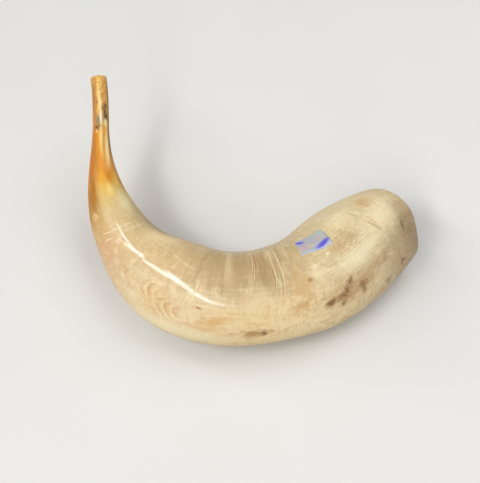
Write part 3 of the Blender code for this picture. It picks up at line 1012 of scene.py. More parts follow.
    def give_relief(self) -> None:
        """Gives the surface the faint relief of growth bands, and of rasp marks on the tip."""
        wiring, finish = self.wiring, self.finish
        grown = wiring.product(self.grain["Bands"], wiring.between(self.where.place, *finish.relief_start))
        rasped = wiring.product(self.rasp, self.tip, finish.rasp_relief)
        wiring.emboss(self.shader, wiring.math("ADD", grown, rasped), finish.relief, finish.relief_depth)


@dataclass(frozen=True)
class HollowFinish:
    """The raw inside of the horn: dull, browner and ringed."""

    pale: Colour = screen(196, 168, 126)
    dark: Colour = screen(120, 88, 58)
    shade_edge: Span = (0.35, 0.65)
    grain: Grain = Grain(bands=0.004, fibres=0.002, clouds=0.018)
    roughness: float = 0.6
    fibre_roughness: float = 0.2
    relief: float = 0.3
    relief_depth: float = 0.0006

    def material(self, groups: Groups) -> bpy.types.Material:
        """The hollow's material."""
        material, wiring, shader = new_material("raw_horn")
        grain = groups.place_grain(wiring, straighten(wiring), self.grain)
        shade = wiring.product(wiring.math("ADD", grain["Bands"], grain["Clouds"]), 0.5)
        colour = wiring.lay(wiring.between(shade, *self.shade_edge), self.pale, self.dark)
        uneven = wiring.linear(grain["Fibres"], self.fibre_roughness, self.roughness)
        wiring.give(shader, {"Base Color": colour, "Roughness": uneven})
        wiring.emboss(shader, grain["Bands"], self.relief, self.relief_depth)
        return material


@dataclass(frozen=True)
class LineFinish:
    """A fine line in the horn, of one tone broken by the grain."""

    name: str
    tone: Colour
    worn: Colour
    roughness: float
    worn_edge: Span = (0.4, 0.7)
    grain: Grain = Grain(bands=0.002, fibres=0.001, clouds=0.004)
    fibre_roughness: float = 0.2
    coat: float = 0.3
    coat_roughness: float = 0.1

    def material(self, groups: Groups) -> bpy.types.Material:
        """The lines' material."""
        material, wiring, shader = new_material(self.name)
        grain = groups.place_grain(wiring, wiring.add("ShaderNodeTexCoord").outputs["Object"], self.grain)
        colour = wiring.lay(wiring.between(grain["Clouds"], *self.worn_edge), self.tone, self.worn)
        wiring.give(shader, {
            "Base Color": colour,
            "Roughness": wiring.linear(grain["Fibres"], self.fibre_roughness, self.roughness),
            "Coat Weight": self.coat,
            "Coat Roughness": self.coat_roughness,
        })
        return material


GROWTH_FINISH = LineFinish("growth_line", screen(246, 228, 188), screen(224, 196, 148), 0.4)
GROOVE_AND_SHADOW_FINISH = LineFinish("groove", screen(166, 122, 66), screen(196, 156, 100), 0.5)


class Tint(NamedTuple):
    """A soft patch of colour on the foil, in shares of the sheet's length and width."""

    colour: Colour
    share: float
    middle: tuple[float, float]
    reach: tuple[float, float]
    lean: float = 0.0  # how steeply it climbs across the sheet


@dataclass(frozen=True)
class FoilFinish:
    """Blank metallised film that splits light into soft colours."""

    silver: Colour = screen(200, 198, 196)
    violet: Colour = screen(92, 84, 214)
    lilac: Colour = screen(180, 178, 226)
    rose: Colour = screen(226, 184, 186)
    straw: Colour = screen(224, 214, 172)
    mint: Colour = screen(192, 208, 200)
    tints: tuple[Tint, ...] = (
        Tint(mint, 0.8, (0.80, 0.85), (0.40, 0.30)),
        Tint(mint, 0.7, (0.30, 0.10), (0.24, 0.16)),
        Tint(rose, 0.8, (0.16, 0.36), (0.20, 0.22)),
        Tint(rose, 0.6, (0.72, 0.62), (0.16, 0.20), 0.5),
        Tint(straw, 0.7, (0.46, 0.34), (0.24, 0.14)),
        Tint(lilac, 0.9, (0.12, 0.70), (0.26, 0.22)),
        Tint(lilac, 0.9, (0.70, 0.20), (0.46, 0.24), 0.3),
        Tint(violet, 0.9, (0.10, 0.80), (0.26, 0.14), -0.4),
        Tint(violet, 0.9, (0.76, 0.22), (0.34, 0.16), 0.4),
    )
    tint_edge: Span = (1.0, 0.3)
    sheen: Veil = Veil(lilac, 0.5, 0.65, 0.5)
    shake: Point = (0.2, 0.2, 0.0)  # of the tints by waves, in shares of the sheet
    roughness: float = 0.28
    wave_roughness: float = 0.15
    metallic: float = 0.3
    groove_scale: float = 24.0
    relief: float = 0.05
    relief_depth: float = 0.0001

    def patch(self, wiring: Wiring, shaken: Socket, tint: Tint) -> Socket:
        """How strongly a tint shows at the shaded point.

        Args:
            wiring: The material's wiring.
            shaken: Where the shaded point lies on the sheet, shaken by waves.
            tint: The tint.

        Returns:
            The share's socket.
        """
        lengthwise, crosswise, _ = wiring.parts(shaken)
        along = wiring.math("SUBTRACT", lengthwise, tint.middle[0])
        climb = wiring.linear(along, tint.lean, tint.middle[1])
        across = wiring.math("SUBTRACT", crosswise, climb)
        offset = wiring.vector("DIVIDE", wiring.joined(along, across, 0.0), (*tint.reach, 1.0))
        return wiring.product(wiring.between(wiring.length(offset), *self.tint_edge), tint.share)

    def material(self) -> bpy.types.Material:
        """The label's material, on the label's own UV map."""
        material, wiring, shader = new_material("blank_foil")
        sheet = wiring.add("ShaderNodeUVMap", uv_map="sheet").outputs["UV"]
        waves = wiring.noise(sheet, scale=4.0, detail=4.0, roughness=0.6, warp=0.8, seed=4.0)
        shaking = wiring.scaled(self.shake, wiring.math("SUBTRACT", waves, 0.5))
        shaken = wiring.vector("ADD", sheet, shaking)
        sheen = wiring.product(wiring.between(waves, self.sheen.bare, self.sheen.whole), self.sheen.share)
        colour = wiring.lay(sheen, self.silver, self.sheen.colour)
        for tint in self.tints:
            colour = wiring.lay(self.patch(wiring, shaken, tint), colour, tint.colour)
        uneven = wiring.linear(waves, self.wave_roughness, self.roughness)
        wiring.give(shader, {"Base Color": colour, "Roughness": uneven, "Metallic": self.metallic})
        ruled = {"Vector": sheet, "Scale": self.groove_scale, "Distortion": 1.0}
        grooves = wiring.add("ShaderNodeTexWave", ruled).outputs["Fac"]
        wiring.emboss(shader, grooves, self.relief, self.relief_depth)
        return material


@dataclass(frozen=True)
class LacquerFinish:
    """A thick drop of clear lacquer, yellowed where it is deep."""

    clear: Colour = screen(230, 208, 160)
    deep: Colour = screen(138, 92, 50)
    deep_edge: Span = (0.4, 0.6)
    cloud_scale: float = 900.0
    roughness: float = 0.04
    cloud_roughness: float = 0.1
    coat_roughness: float = 0.03

    def material(self) -> bpy.types.Material:
        """The drop's material."""
        material, wiring, shader = new_material("lacquer_drop")
        where = wiring.add("ShaderNodeTexCoord").outputs["Object"]
        clouds = wiring.noise(where, self.cloud_scale, detail=2.0, seed=6.0)
        colour = wiring.lay(wiring.between(clouds, *self.deep_edge), self.clear, self.deep)
        wiring.give(shader, {
            "Base Color": colour,
            "Roughness": wiring.linear(clouds, self.cloud_roughness, self.roughness),
            "Coat Weight": 1.0,
            "Coat Roughness": self.coat_roughness,
        })
        return material


@dataclass(frozen=True)
class FloorFinish:
    """A plain pale floor with the faintest cloudiness, which throws little light back at the horn."""

    pale: Colour = screen(226, 224, 220)
    shade: Colour = screen(220, 218, 213)
    bounce: Colour = screen(180, 178, 175)
    cloud_scale: float = 9.0
    roughness: float = 0.8

    def material(self) -> bpy.types.Material:
        """The floor's material."""
        material, wiring, shader = new_material("pale_floor")
        where = wiring.add("ShaderNodeTexCoord").outputs["Object"]
        clouds = wiring.noise(where, self.cloud_scale, detail=3.0)
        ray = wiring.add("ShaderNodeLightPath").outputs
        seen = wiring.math("MAXIMUM", ray["Is Camera Ray"], ray["Is Glossy Ray"])
        seen = wiring.math("MAXIMUM", seen, ray["Is Transmission Ray"])
        colour = wiring.lay(seen, self.bounce, wiring.lay(clouds, self.pale, self.shade))
        wiring.give(shader, {"Base Color": colour, "Roughness": self.roughness})
        return material


def show(name: str, mesh: bpy.types.Mesh) -> bpy.types.Object:
    """Puts a mesh into the scene under a name."""
    thing = bpy.data.objects.new(name, mesh)
    bpy.context.scene.collection.objects.link(thing)
    return thing


def show_shape(name: str, shape: bmesh.types.BMesh, finish: bpy.types.Material) -> bpy.types.Object:
    """Puts a shape of one finish into the scene.

    Args:
        name: The object's name.
        shape: The shape, which is used up.
        finish: Its material.

    Returns:
        The new object.
    """
    mesh = bpy.data.meshes.new(name)
    shape.to_mesh(mesh)
    shape.free()
    mesh.materials.append(finish)
    return show(name, mesh)


def run_tree(thing: bpy.types.Object, tree: bpy.types.NodeTree, values: dict[str, Any]) -> None:
    """Runs a Geometry Nodes tree on an object and keeps the result as its plain mesh.

    Args:
        thing: The object, whose mesh is what the tree starts from.
        tree: The tree.
        values: The tree's inputs by name.
    """
    modifier = thing.modifiers.new(tree.name, "NODES")
    modifier.node_group = tree
    for item in tree.interface.items_tree:
        if item.in_out == "INPUT" and item.name in values:
            modifier[item.identifier] = values[item.name]
    depsgraph = bpy.context.evaluated_depsgraph_get()
    made = bpy.data.meshes.new_from_object(thing.evaluated_get(depsgraph), depsgraph=depsgraph)
    made.name = thing.name
    thing.modifiers.clear()
    thing.data = made


@dataclass
class LoftTree:
    """The Geometry Nodes tree that lofts a closed wall through rings and works its outside.

    Spans along the horn are in metres, and spans round it in degrees.
    """

    ripple_cells: Point = (1.0, 14.0, 14.0)  # in ripple pitches
    ripple_start: Span = (0.09, 0.16)
    dent_start: Span = (0.20, 0.25)
    underside: Span = (-0.9, -0.5)  # in radii above the axis, where the horn that rests stays whole
    facet_end: Span = (0.075, 0.040)
    notch_along: tuple[Span, Span] = ((0.017, 0.022), (0.0278, 0.0290))
    notch_around: tuple[Span, Span] = ((100.0, 116.0), (150.0, 170.0))
    weld: float = 1e-6

    def __post_init__(self) -> None:
        """Builds the tree."""
        self.wiring = new_tree(
            "Horn Loft", "GeometryNodeTree",
            [("Rings", "Geometry"), ("Sides", "Int"), ("Crest Breadth", "Float"),
             ("Ripple Depth", "Float"), ("Ripple Pitch", "Float"),
             ("Dent Depth", "Float"), ("Dent Size", "Float"), ("Facets", "Float"), ("Facet Depth", "Float"),
             ("Notch Depth", "Float"), ("Seed", "Float"), ("Outside", "Material"), ("Hollow", "Material")],
            [("Wall", "Geometry")],
        )
        wiring = self.wiring
        self.given = wiring.add("NodeGroupInput").outputs
        wall = self.loft()
        inwards = wiring.product(self.worn(), wiring.named("FLOAT", "outside"), -1.0)
        offset = wiring.scaled(wiring.add("GeometryNodeInputNormal").outputs[0], inwards)
        wall = wiring.add("GeometryNodeSetPosition", {"Geometry": wall, "Offset": offset}).outputs[0]
        wall = wiring.add("GeometryNodeSetShadeSmooth", {"Geometry": wall}).outputs[0]
        wall = wiring.add("GeometryNodeRealizeInstances", {"Geometry": wall}).outputs[0]
        dress = {"Geometry": wall, "Material": self.given["Outside"]}
        wall = wiring.add("GeometryNodeSetMaterial", dress).outputs[0]
        sides = {0: wiring.named("FLOAT", "outside"), 1: 0.5}
        hollow = wiring.add("FunctionNodeCompare", sides, data_type="FLOAT", operation="LESS_THAN").outputs[0]
        dress = {"Geometry": wall, "Selection": hollow, "Material": self.given["Hollow"]}
        wall = wiring.add("GeometryNodeSetMaterial", dress).outputs[0]
        wiring.add("NodeGroupOutput", {"Wall": wall})
        self.tree = wiring.tree

    def keep(self, mesh: Socket, kind: str, name: str, value: Socket) -> Socket:
        """The mesh with a value stored on its points."""
        inputs = {"Geometry": mesh, "Name": name, "Value": value}
        node = self.wiring.add("GeometryNodeStoreNamedAttribute", inputs, data_type=kind, domain="POINT")
        return node.outputs["Geometry"]

    def sample(self, ring: Socket, kind: str, value: Socket) -> Socket:
        """A value of the ring that a grid point belongs to."""
        inputs = {"Geometry": self.given["Rings"], "Value": value, "Index": ring}
        node = self.wiring.add("GeometryNodeSampleIndex", inputs, data_type=kind, domain="POINT")
        return self.wiring.in_use(node.outputs, "Value")

    def loft(self) -> Socket:
        """A grid wrapped through the rings and back, with its place on the straightened horn kept on it.

        Returns:
            The closed wall.
        """
        wiring, sides = self.wiring, self.given["Sides"]
        rings = {"Geometry": self.given["Rings"]}
        size = wiring.add("GeometryNodeAttributeDomainSize", rings, component="MESH")
        count = size.outputs["Point Count"]
        grid = wiring.add("GeometryNodeMeshGrid", {
            "Size X": count,
            "Size Y": sides,
            "Vertices X": wiring.math("ADD", count, 1),
            "Vertices Y": wiring.math("ADD", sides, 1),
        })
        position = wiring.add("GeometryNodeInputPosition").outputs[0]
        row, column, _ = wiring.parts(position)
        ring = wiring.math("ROUND", wiring.linear(count, 0.5, row))
        ring = wiring.math("MODULO", ring, count)
        turn = wiring.math("DIVIDE", wiring.linear(sides, 0.5, column), sides)
        angle = wiring.product(turn, 2 * math.pi)
        cosine, sine = wiring.math("COSINE", angle), wiring.math("SINE", angle)

        def read(name: str) -> Socket:
            """A named vector of the grid point's ring."""
            return self.sample(ring, "FLOAT_VECTOR", wiring.named("FLOAT_VECTOR", name))

        keel, place, radius = wiring.parts(read("facts"))
        crest_angle, crest_height, _ = wiring.parts(read("crest"))
        turned = wiring.math("ABSOLUTE", wiring.math("SUBTRACT", angle, crest_angle))
        crest_gap = wiring.product(turned, radius)
        swell = wiring.product(crest_height, wiring.between(crest_gap, self.given["Crest Breadth"], 0.0))
        ridge = wiring.math("SINE", wiring.product(angle, 3.0))
        keeled = wiring.math("SUBTRACT", 1.0, wiring.product(keel, ridge))
        reach = wiring.math("ADD", keeled, wiring.math("DIVIDE", swell, radius))
        across = wiring.scaled(read("across"), cosine)
        rise = wiring.scaled(read("rise"), sine)
        centre = self.sample(ring, "FLOAT_VECTOR", position)
        point = wiring.vector("ADD", centre, wiring.scaled(wiring.vector("ADD", across, rise), reach))
        straight = wiring.joined(place, wiring.product(radius, cosine), wiring.product(radius, sine))
        outside = self.sample(ring, "FLOAT", wiring.named("FLOAT", "outside"))
        wall = self.keep(grid.outputs["Mesh"], "FLOAT_VECTOR", "straight", straight)
        wall = self.keep(wall, "FLOAT", "outside", outside)
        wall = self.keep(wall, "FLOAT", "crest_gap", crest_gap)
        wall = wiring.add("GeometryNodeSetPosition", {"Geometry": wall, "Position": point}).outputs[0]
        return wiring.add("GeometryNodeMergeByDistance", {"Geometry": wall, "Distance": self.weld}).outputs[0]

    def worn(self) -> Socket:
        """How far the outside is worked down: ripples, dents, and the rasped tip's facets and scorched notch.

        Returns:
            The depth.
        """
        wiring, given = self.wiring, self.given
        straight = wiring.named("FLOAT_VECTOR", "straight")
        place, side, height = wiring.parts(straight)
        cells = wiring.vector("DIVIDE", straight, wiring.scaled(self.ripple_cells, given["Ripple Pitch"]))
        waves = wiring.noise(cells, detail=2.0, seed=given["Seed"])
        ripples = wiring.product(waves, given["Ripple Depth"], wiring.between(place, *self.ripple_start))
        cells = wiring.vector("DIVIDE", straight, given["Dent Size"])
        hollows = wiring.math("SUBTRACT", wiring.noise(cells, detail=1.0, seed=given["Seed"]), 0.5)
        dents = wiring.product(hollows, given["Dent Depth"], wiring.between(place, *self.dent_start))
        radius = wiring.length(wiring.joined(0.0, side, height))
        clear = wiring.between(wiring.math("DIVIDE", height, radius), *self.underside)
        natural = wiring.product(wiring.math("ADD", ripples, dents), clear)
        angle = wiring.math("ARCTAN2", height, side)
        turns = wiring.product(angle, wiring.math("DIVIDE", given["Facets"], 2 * math.pi))
        across = wiring.linear(wiring.math("FRACT", turns), 2.0, -1.0)
        flat = wiring.math("SUBTRACT", 1.0, wiring.product(across, across))
        facets = wiring.product(flat, given["Facet Depth"], wiring.between(place, *self.facet_end))
        long_way = wiring.within(place, *self.notch_along)
        round_way = wiring.within(wiring.math("DEGREES", angle), *self.notch_around)
        notch = wiring.product(long_way, round_way, given["Notch Depth"])
        return wiring.math("ADD", natural, wiring.math("ADD", facets, notch))


class LineTree:
    """The Geometry Nodes tree that lays fine half-sunk lines on a surface along wires."""

    def __init__(self) -> None:
        """Builds the tree."""
        wiring = new_tree(
            "Surface Lines", "GeometryNodeTree",
            [("Wires", "Geometry"), ("Surface", "Object"), ("Sink", "Float"), ("Profile Sides", "Int"),
             ("Finish", "Material")],
            [("Lines", "Geometry")],
        )
        given = wiring.add("NodeGroupInput").outputs
        surface = wiring.add("GeometryNodeObjectInfo", {"Object": given["Surface"]}).outputs["Geometry"]
        breadth = wiring.named("FLOAT", "breadth")
        curve = wiring.add("GeometryNodeMeshToCurve", {"Mesh": given["Wires"]}).outputs[0]
        nearest = wiring.add("GeometryNodeProximity", {0: surface}, target_element="FACES")
        inputs = {"Mesh": surface, "Value": wiring.add("GeometryNodeInputNormal").outputs[0]}
        facing = wiring.add("GeometryNodeSampleNearestSurface", inputs, data_type="FLOAT_VECTOR")
        normal = wiring.in_use(facing.outputs, "Value")
        sunk = wiring.scaled(normal, wiring.product(breadth, given["Sink"], -1.0))
        spot = wiring.vector("ADD", nearest.outputs["Position"], sunk)
        curve = wiring.add("GeometryNodeSetPosition", {"Geometry": curve, "Position": spot}).outputs[0]
        circle = {"Resolution": given["Profile Sides"], "Radius": 1.0}
        sweep = {
            "Curve": curve,
            "Profile Curve": wiring.add("GeometryNodeCurvePrimitiveCircle", circle).outputs[0],
            "Scale": breadth,
            "Fill Caps": True,
        }
        lines = wiring.add("GeometryNodeCurveToMesh", sweep).outputs[0]
        lines = wiring.add("GeometryNodeSetShadeSmooth", {"Geometry": lines}).outputs[0]
        lines = wiring.add("GeometryNodeRealizeInstances", {"Geometry": lines}).outputs[0]
        dress = {"Geometry": lines, "Material": given["Finish"]}
        wiring.add("NodeGroupOutput", {"Lines": wiring.add("GeometryNodeSetMaterial", dress).outputs[0]})
        self.tree = wiring.tree


@dataclass
class HornShell:
    """The whole horn as one unbroken wall: outside, rim, hollow, bore and cup."""

    form: HornForm
    sides: int = 160
    outer_step: float = 0.9 * MM
    inner_step: float = 3.0 * MM
    tip_round: float = 1.2 * MM
    rim_round: float = 1.0 * MM
    round_steps: int = 5
    crest: tuple[Spot, ...] = (
        (104, 80), (111, 80), (122, 80.5), (134, 78.5), (145, 76),
        (153, 73), (173, 70.5), (181, 65.5), (189, 57.5), (205, 51.5),
    )
    crest_height: float = 0.12 * MM
    crest_breadth: float = 7.0 * MM
    ripple_depth: float = 0.10 * MM
    ripple_pitch: float = 5.0 * MM
    dent_depth: float = 2.2 * MM
    dent_size: float = 26.0 * MM
    facets: float = 8.0
    facet_depth: float = 0.35 * MM
    notch_depth: float = 0.6 * MM
    seed: float = 3.0

    def rounded(self, radius: float) -> tuple[np.ndarray, np.ndarray]:
        """A quarter round from a flat end: distances behind it and distances inwards."""
        turns = np.linspace(0, math.pi / 2, self.round_steps + 1)
        return radius * (1 - np.cos(turns)), radius * (1 - np.sin(turns))

    def wall_rings(self) -> list[Rings]:
        """The rings round the wall in order: tip edge, outside, rim, hollow and bore."""
        form = self.form
        length = form.axis_length
        behind, inwards = self.rounded(self.tip_round)
        tip = form.outer_rings(behind[:-1], inwards[:-1])
        count = round(length / self.outer_step)
        outside = form.outer_rings(np.linspace(self.tip_round, length - self.rim_round, count))
        behind, inwards = self.rounded(self.rim_round)
        rim_out = form.outer_rings(length - behind[::-1][1:], inwards[::-1][1:])
        rim_in = form.inner_rings(length - behind[:-1], inwards[:-1])
        count = round(length / self.inner_step)
        hollow = np.linspace(length - self.rim_round, 0.0, count)
        hollow = np.sort(np.append(hollow, form.cup_depth))[::-1]
        return [tip, outside, rim_out, rim_in, form.inner_rings(hollow)]

    def ring_mesh(self) -> bpy.types.Mesh:
        """A mesh with one point for each ring, which carries the ring's sizes as attributes."""
        parts = self.wall_rings()
        joined = Rings(*(np.concatenate(column) for column in zip(*parts)))
        lengths = [len(part.place) for part in parts]
        outside = np.repeat([1.0, 1.0, 1.0, 0.0, 0.0], lengths)
        radius = self.form.girth_radius(joined.place)
        knots, angles = (np.array(column, float) for column in zip(*self.crest))
        line = smooth(knots * MM, np.radians(angles), np.clip(joined.place, knots[0] * MM, knots[-1] * MM))
        fade = np.interp(joined.place, knots[[0, 1, -2, -1]] * MM, [0.0, 1.0, 1.0, 0.0])
        swell = self.crest_height * outside * fade
        mesh = bpy.data.meshes.new("horn_rings")
        mesh.from_pydata(joined.centre.tolist(), [], [])
        vectors = {
            "across": joined.across,
            "rise": joined.rise,
            "facts": np.stack([joined.keel, joined.place, radius], 1),
            "crest": np.stack([line, swell, np.zeros_like(line)], 1),
        }
        for name, values in vectors.items():
            attribute = mesh.attributes.new(name, "FLOAT_VECTOR", "POINT")
            attribute.data.foreach_set("vector", values.astype(np.float32).ravel())
        flags = mesh.attributes.new("outside", "FLOAT", "POINT")
        flags.data.foreach_set("value", outside.astype(np.float32))
        return mesh

    def build(self, outside: bpy.types.Material, hollow: bpy.types.Material) -> bpy.types.Object:
        """Lofts the wall.

        Args:
            outside: The finish of the outside.
            hollow: The finish of the inside.

        Returns:
            The horn's object.
        """
        shell = show("horn_shell", self.ring_mesh())
        run_tree(shell, LoftTree().tree, {
            "Sides": self.sides,
            "Crest Breadth": self.crest_breadth,
            "Ripple Depth": self.ripple_depth,
            "Ripple Pitch": self.ripple_pitch,
            "Dent Depth": self.dent_depth,
            "Dent Size": self.dent_size,
            "Facets": self.facets,
            "Facet Depth": self.facet_depth,
            "Notch Depth": self.notch_depth,
            "Seed": self.seed,
            "Outside": outside,
            "Hollow": hollow,
        })
        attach(shell, BODY)
        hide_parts(*HORN_NODES)
        return shell


class Line(NamedTuple):
    """A fine line on the horn through spots."""

    spots: tuple[Spot, ...]
    breadth: float  # in millimetres
    spread: float = 0.4  # of its strands, in millimetres along the horn


# Pale edges of the growth cones, from the neck to the bell
GROWTH_LINES = (
    Line(((90, 26), (96, 38), (99, 50)), 0.25),
    Line(((109.5, 40), (114, 77), (115, 110)), 1.0),
    Line(((114.5, 38), (118, 61)), 1.0),
    Line(((120, 84), (120.5, 119)), 0.8),
    Line(((134, 86), (136, 112)), 0.5),
    Line(((179, 40), (181, 55)), 0.9),
    Line(((181.5, 44), (183, 54)), 0.7),
    Line(((184, 41), (186, 57.5), (187.2, 75)), 1.0),
    Line(((220, 140), (220.5, 101.5), (219, 84.5), (216.5, 69.5), (213, 57)), 0.34, 2.4),
    Line(((217, 90), (215, 72), (211, 60)), 0.28, 1.4),
    Line(((233, 140), (232.5, 92), (232.5, 76.5), (230, 60)), 0.36, 1.4),
    Line(((236.5, 140), (236.5, 96), (237, 80.5), (235, 56)), 0.5, 1.0),
)

# Brown lines beside the growth lines, the first a painted shadow beside its raised line and the others brown
# edges, and gouges and creases on the bell
GROOVES_AND_SHADOW = (
    # Painted shadow on the side of the raised growth line away from the light
    Line(((221.6, 118), (221.8, 101), (220.2, 86)), 0.5),
    Line(((231.6, 98), (231.5, 76), (229.2, 61)), 0.5),
    Line(((235.9, 84), (235.6, 70), (234, 57)), 0.5),
    Line(((301, 85), (302.5, 77), (305, 67.5)), 0.7),
    Line(((308, 107.5), (311, 95)), 0.6),
    Line(((297.5, 104.5), (300, 91.5)), 0.4),
    Line(((309, 33), (311, 11)), 0.6),
)


@dataclass
class FineLines:
    """Lines of one finish that follow the horn's surface, each of a few strands."""

    name: str
    lines: tuple[Line, ...]
    form: HornForm
    strands: int = 3
    steps: int = 40
    sink: float = 0.6
    profile_sides: int = 8
    phase_step: float = 2.4  # from strand to strand, in radians
    shortening: float = 0.16  # from strand to strand, as a share of the line
    thinning: float = 0.5  # from strand to strand
    wander: float = 0.5  # of a strand, in gaps between strands
    waves: float = 7.0  # of the wander along the line, in radians
    blunt: float = 0.15
    taper: float = 0.6

    def strand(self, number: int, strand: int) -> tuple[np.ndarray, np.ndarray]:
        """One strand of a line, which strays and ends on its own and tapers to both ends.

        Args:
            number: The line's number.
            strand: The strand's number.

        Returns:
            The strand's points on the horn and half its breadth at each.
        """
        line = self.lines[number]
        at = np.linspace(0, 1, self.steps)
        phase = number + self.phase_step * strand
        short = self.shortening * strand
        start = short * (0.5 + 0.5 * math.sin(phase))
        part = start + at * (1 - short)
        knots = np.linspace(0, 1, len(line.spots))
        columns = [np.array(column, float) for column in zip(*line.spots)]
        if len(knots) > 2:
            places, angles = (smooth(knots, column, part) for column in columns)
        else:
            places, angles = (np.interp(part, knots, column) for column in columns)
        stray = strand - (self.strands - 1) / 2 + self.wander * np.sin(phase + self.waves * part)
        places = places + line.spread / self.strands * stray
        tapered = self.blunt + (1 - self.blunt) * np.sin(math.pi * at) ** self.taper
        half_breadth = tapered * line.breadth / 2 / (1 + self.thinning * strand) * MM
        return self.form.surface(list(zip(places, angles))), half_breadth

    def wires(self) -> bpy.types.Mesh:
        """All the strands as wires that carry their breadth."""
        points, edges, breadths = [], [], []
        for number in range(len(self.lines)):
            for strand in range(self.strands):
                first = len(points)
                spots, half_breadth = self.strand(number, strand)
                points += spots.tolist()
                edges += [(first + step, first + step + 1) for step in range(self.steps - 1)]
                breadths += half_breadth.tolist()
        mesh = bpy.data.meshes.new(self.name)
        mesh.from_pydata(points, edges, [])
        mesh.attributes.new("breadth", "FLOAT", "POINT").data.foreach_set("value", breadths)
        return mesh

    def build(self, tree: LineTree, shell: bpy.types.Object, finish: bpy.types.Material) -> bpy.types.Object:
        """Lays the lines on the horn.

        Args:
            tree: The tree that makes lines of wires.
            shell: The horn.
            finish: The lines' material.

        Returns:
            The lines' object.
        """
        thing = show(self.name, self.wires())
        run_tree(thing, tree.tree, {
            "Surface": shell,
            "Sink": self.sink,
            "Profile Sides": self.profile_sides,
            "Finish": finish,
        })
        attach(thing, BODY)
        return thing


@dataclass
class FoilLabel:
    """The blank foil label on the bell, as in the CAD source."""

    form: HornForm
    length: float = 21.0 * MM
    width: float = 15.5 * MM
    thickness: float = 0.15 * MM
    lift: float = 0.04 * MM
    middle: Spot = (265.1, 103.0)
    turn: float = -8.0
    cells: tuple[int, int] = (28, 20)

    def spots(self) -> list[Spot]:
        """The label's grid of spots on the horn, row by row."""
        columns, rows = self.cells
        place, angle = self.middle
        near = [(place - 1, angle), (place + 1, angle), (place, angle - 1), (place, angle + 1)]
        ends = self.form.surface(near)
        along = np.linalg.norm(ends[1] - ends[0]) / 2
        around = np.linalg.norm(ends[3] - ends[2]) / 2
        cosine, sine = math.cos(math.radians(self.turn)), math.sin(math.radians(self.turn))
        spots = []
        for row in range(rows + 1):
            for column in range(columns + 1):
                lengthwise = (column / columns - 0.5) * self.length
                crosswise = (row / rows - 0.5) * self.width
                further = (lengthwise * cosine - crosswise * sine) / along
                turned = (lengthwise * sine + crosswise * cosine) / around
                spots.append((place + further, angle + turned))
        return spots

    def build(self, shell: bpy.types.Object, finish: bpy.types.Material) -> bpy.types.Object:
        """Lays the label on the horn.

        Args:
            shell: The horn.
            finish: The foil's material.

        Returns:
            The label's object.
        """
        columns, rows = self.cells
        vertices = [vertex.co for vertex in shell.data.vertices]
        tree = BVHTree.FromPolygons(vertices, [tuple(face.vertices) for face in shell.data.polygons])
        film = bmesh.new()
        sheet = film.loops.layers.uv.new("sheet")
        corners = []
        for point in self.form.surface(self.spots()):
            found, normal, _, _ = tree.find_nearest(Vector(point))
            corners.append(film.verts.new(found + normal * self.lift))
        for row in range(rows):
            for column in range(columns):
                steps = ((column, row), (column, row + 1), (column + 1, row + 1), (column + 1, row))
                face = film.faces.new([corners[down * (columns + 1) + right] for right, down in steps])
                face.smooth = True
                for loop, (right, down) in zip(face.loops, steps):
                    loop[sheet].uv = (right / columns, down / rows)
        label = show_shape("foil_label_film", film, finish)
        skin = label.modifiers.new("thickness", "SOLIDIFY")
        skin.thickness = self.thickness
        skin.offset = 1.0
        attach(label, BODY)
        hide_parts(LABEL_NODE)
        return label


@dataclass
class LacquerDrop:
    """A dried drop of lacquer that ran to the edge of the bell."""

    form: HornForm
    spot: Spot = (314.5, 6.0)
    length: float = 4.2 * MM
    breadth: float = 2.9 * MM
    height: float = 1.2 * MM
    tail: float = 0.25
    foot: float = 0.2
    rings: int = 8
    sides: int = 24

    def directions(self) -> tuple[Vector, Vector, Vector, Vector]:
        """The drop's middle, and the directions along, round and out of the bell there."""
        place, angle = self.spot
        near = self.form.surface([self.spot, (place + 1, angle), (place, angle + 2)])
        middle, further, turned = (Vector(point) for point in near)
        along = (further - middle).normalized()
        normal = along.cross(turned - middle).normalized()
        axis = Vector(self.form.outer_rings(np.array([place * MM])).centre[0])
        if normal.dot(middle - axis) < 0:
            normal.negate()
        return middle, along, normal.cross(along), normal

    def build(self, finish: bpy.types.Material) -> bpy.types.Object:
        """Shapes the drop on the bell's surface.

        Args:
            finish: The drop's material.

        Returns:
            The drop's object.
        """
        middle, along, around, normal = self.directions()
        shape = bmesh.new()
        loops = []
        for ring in range(1, self.rings + 1):
            slope = math.pi / 2 * ring / self.rings
            rise = self.height * (math.cos(slope) * (1 + self.foot) - self.foot)
            loop = []
            for side in range(self.sides):
                turn = 2 * math.pi * side / self.sides
                lengthwise = math.cos(turn) * self.length / 2 * (1 + self.tail * math.cos(turn))
                offset = along * lengthwise + around * math.sin(turn) * self.breadth / 2
                loop.append(shape.verts.new(middle + offset * math.sin(slope) + normal * rise))
            loops.append(loop)
        top = shape.verts.new(middle + normal * self.height)
        for side in range(self.sides):
            following = (side + 1) % self.sides
            shape.faces.new((top, loops[0][side], loops[0][following]))
            for inner, outer in zip(loops, loops[1:]):
                shape.faces.new((inner[side], outer[side], outer[following], inner[following]))
        shape.faces.new(loops[-1])
        bmesh.ops.recalc_face_normals(shape, faces=shape.faces)
        for face in shape.faces:
            face.smooth = len(face.verts) < self.sides
        drop = show_shape("lacquer_drop", shape, finish)
        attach(drop, BODY)
        return drop


class Lamp(NamedTuple):
    """An oval light that faces the horn, by the two ends of its length."""

    name: str
    start: Point
    end: Point
    breadth: float
    power: float  # in watts


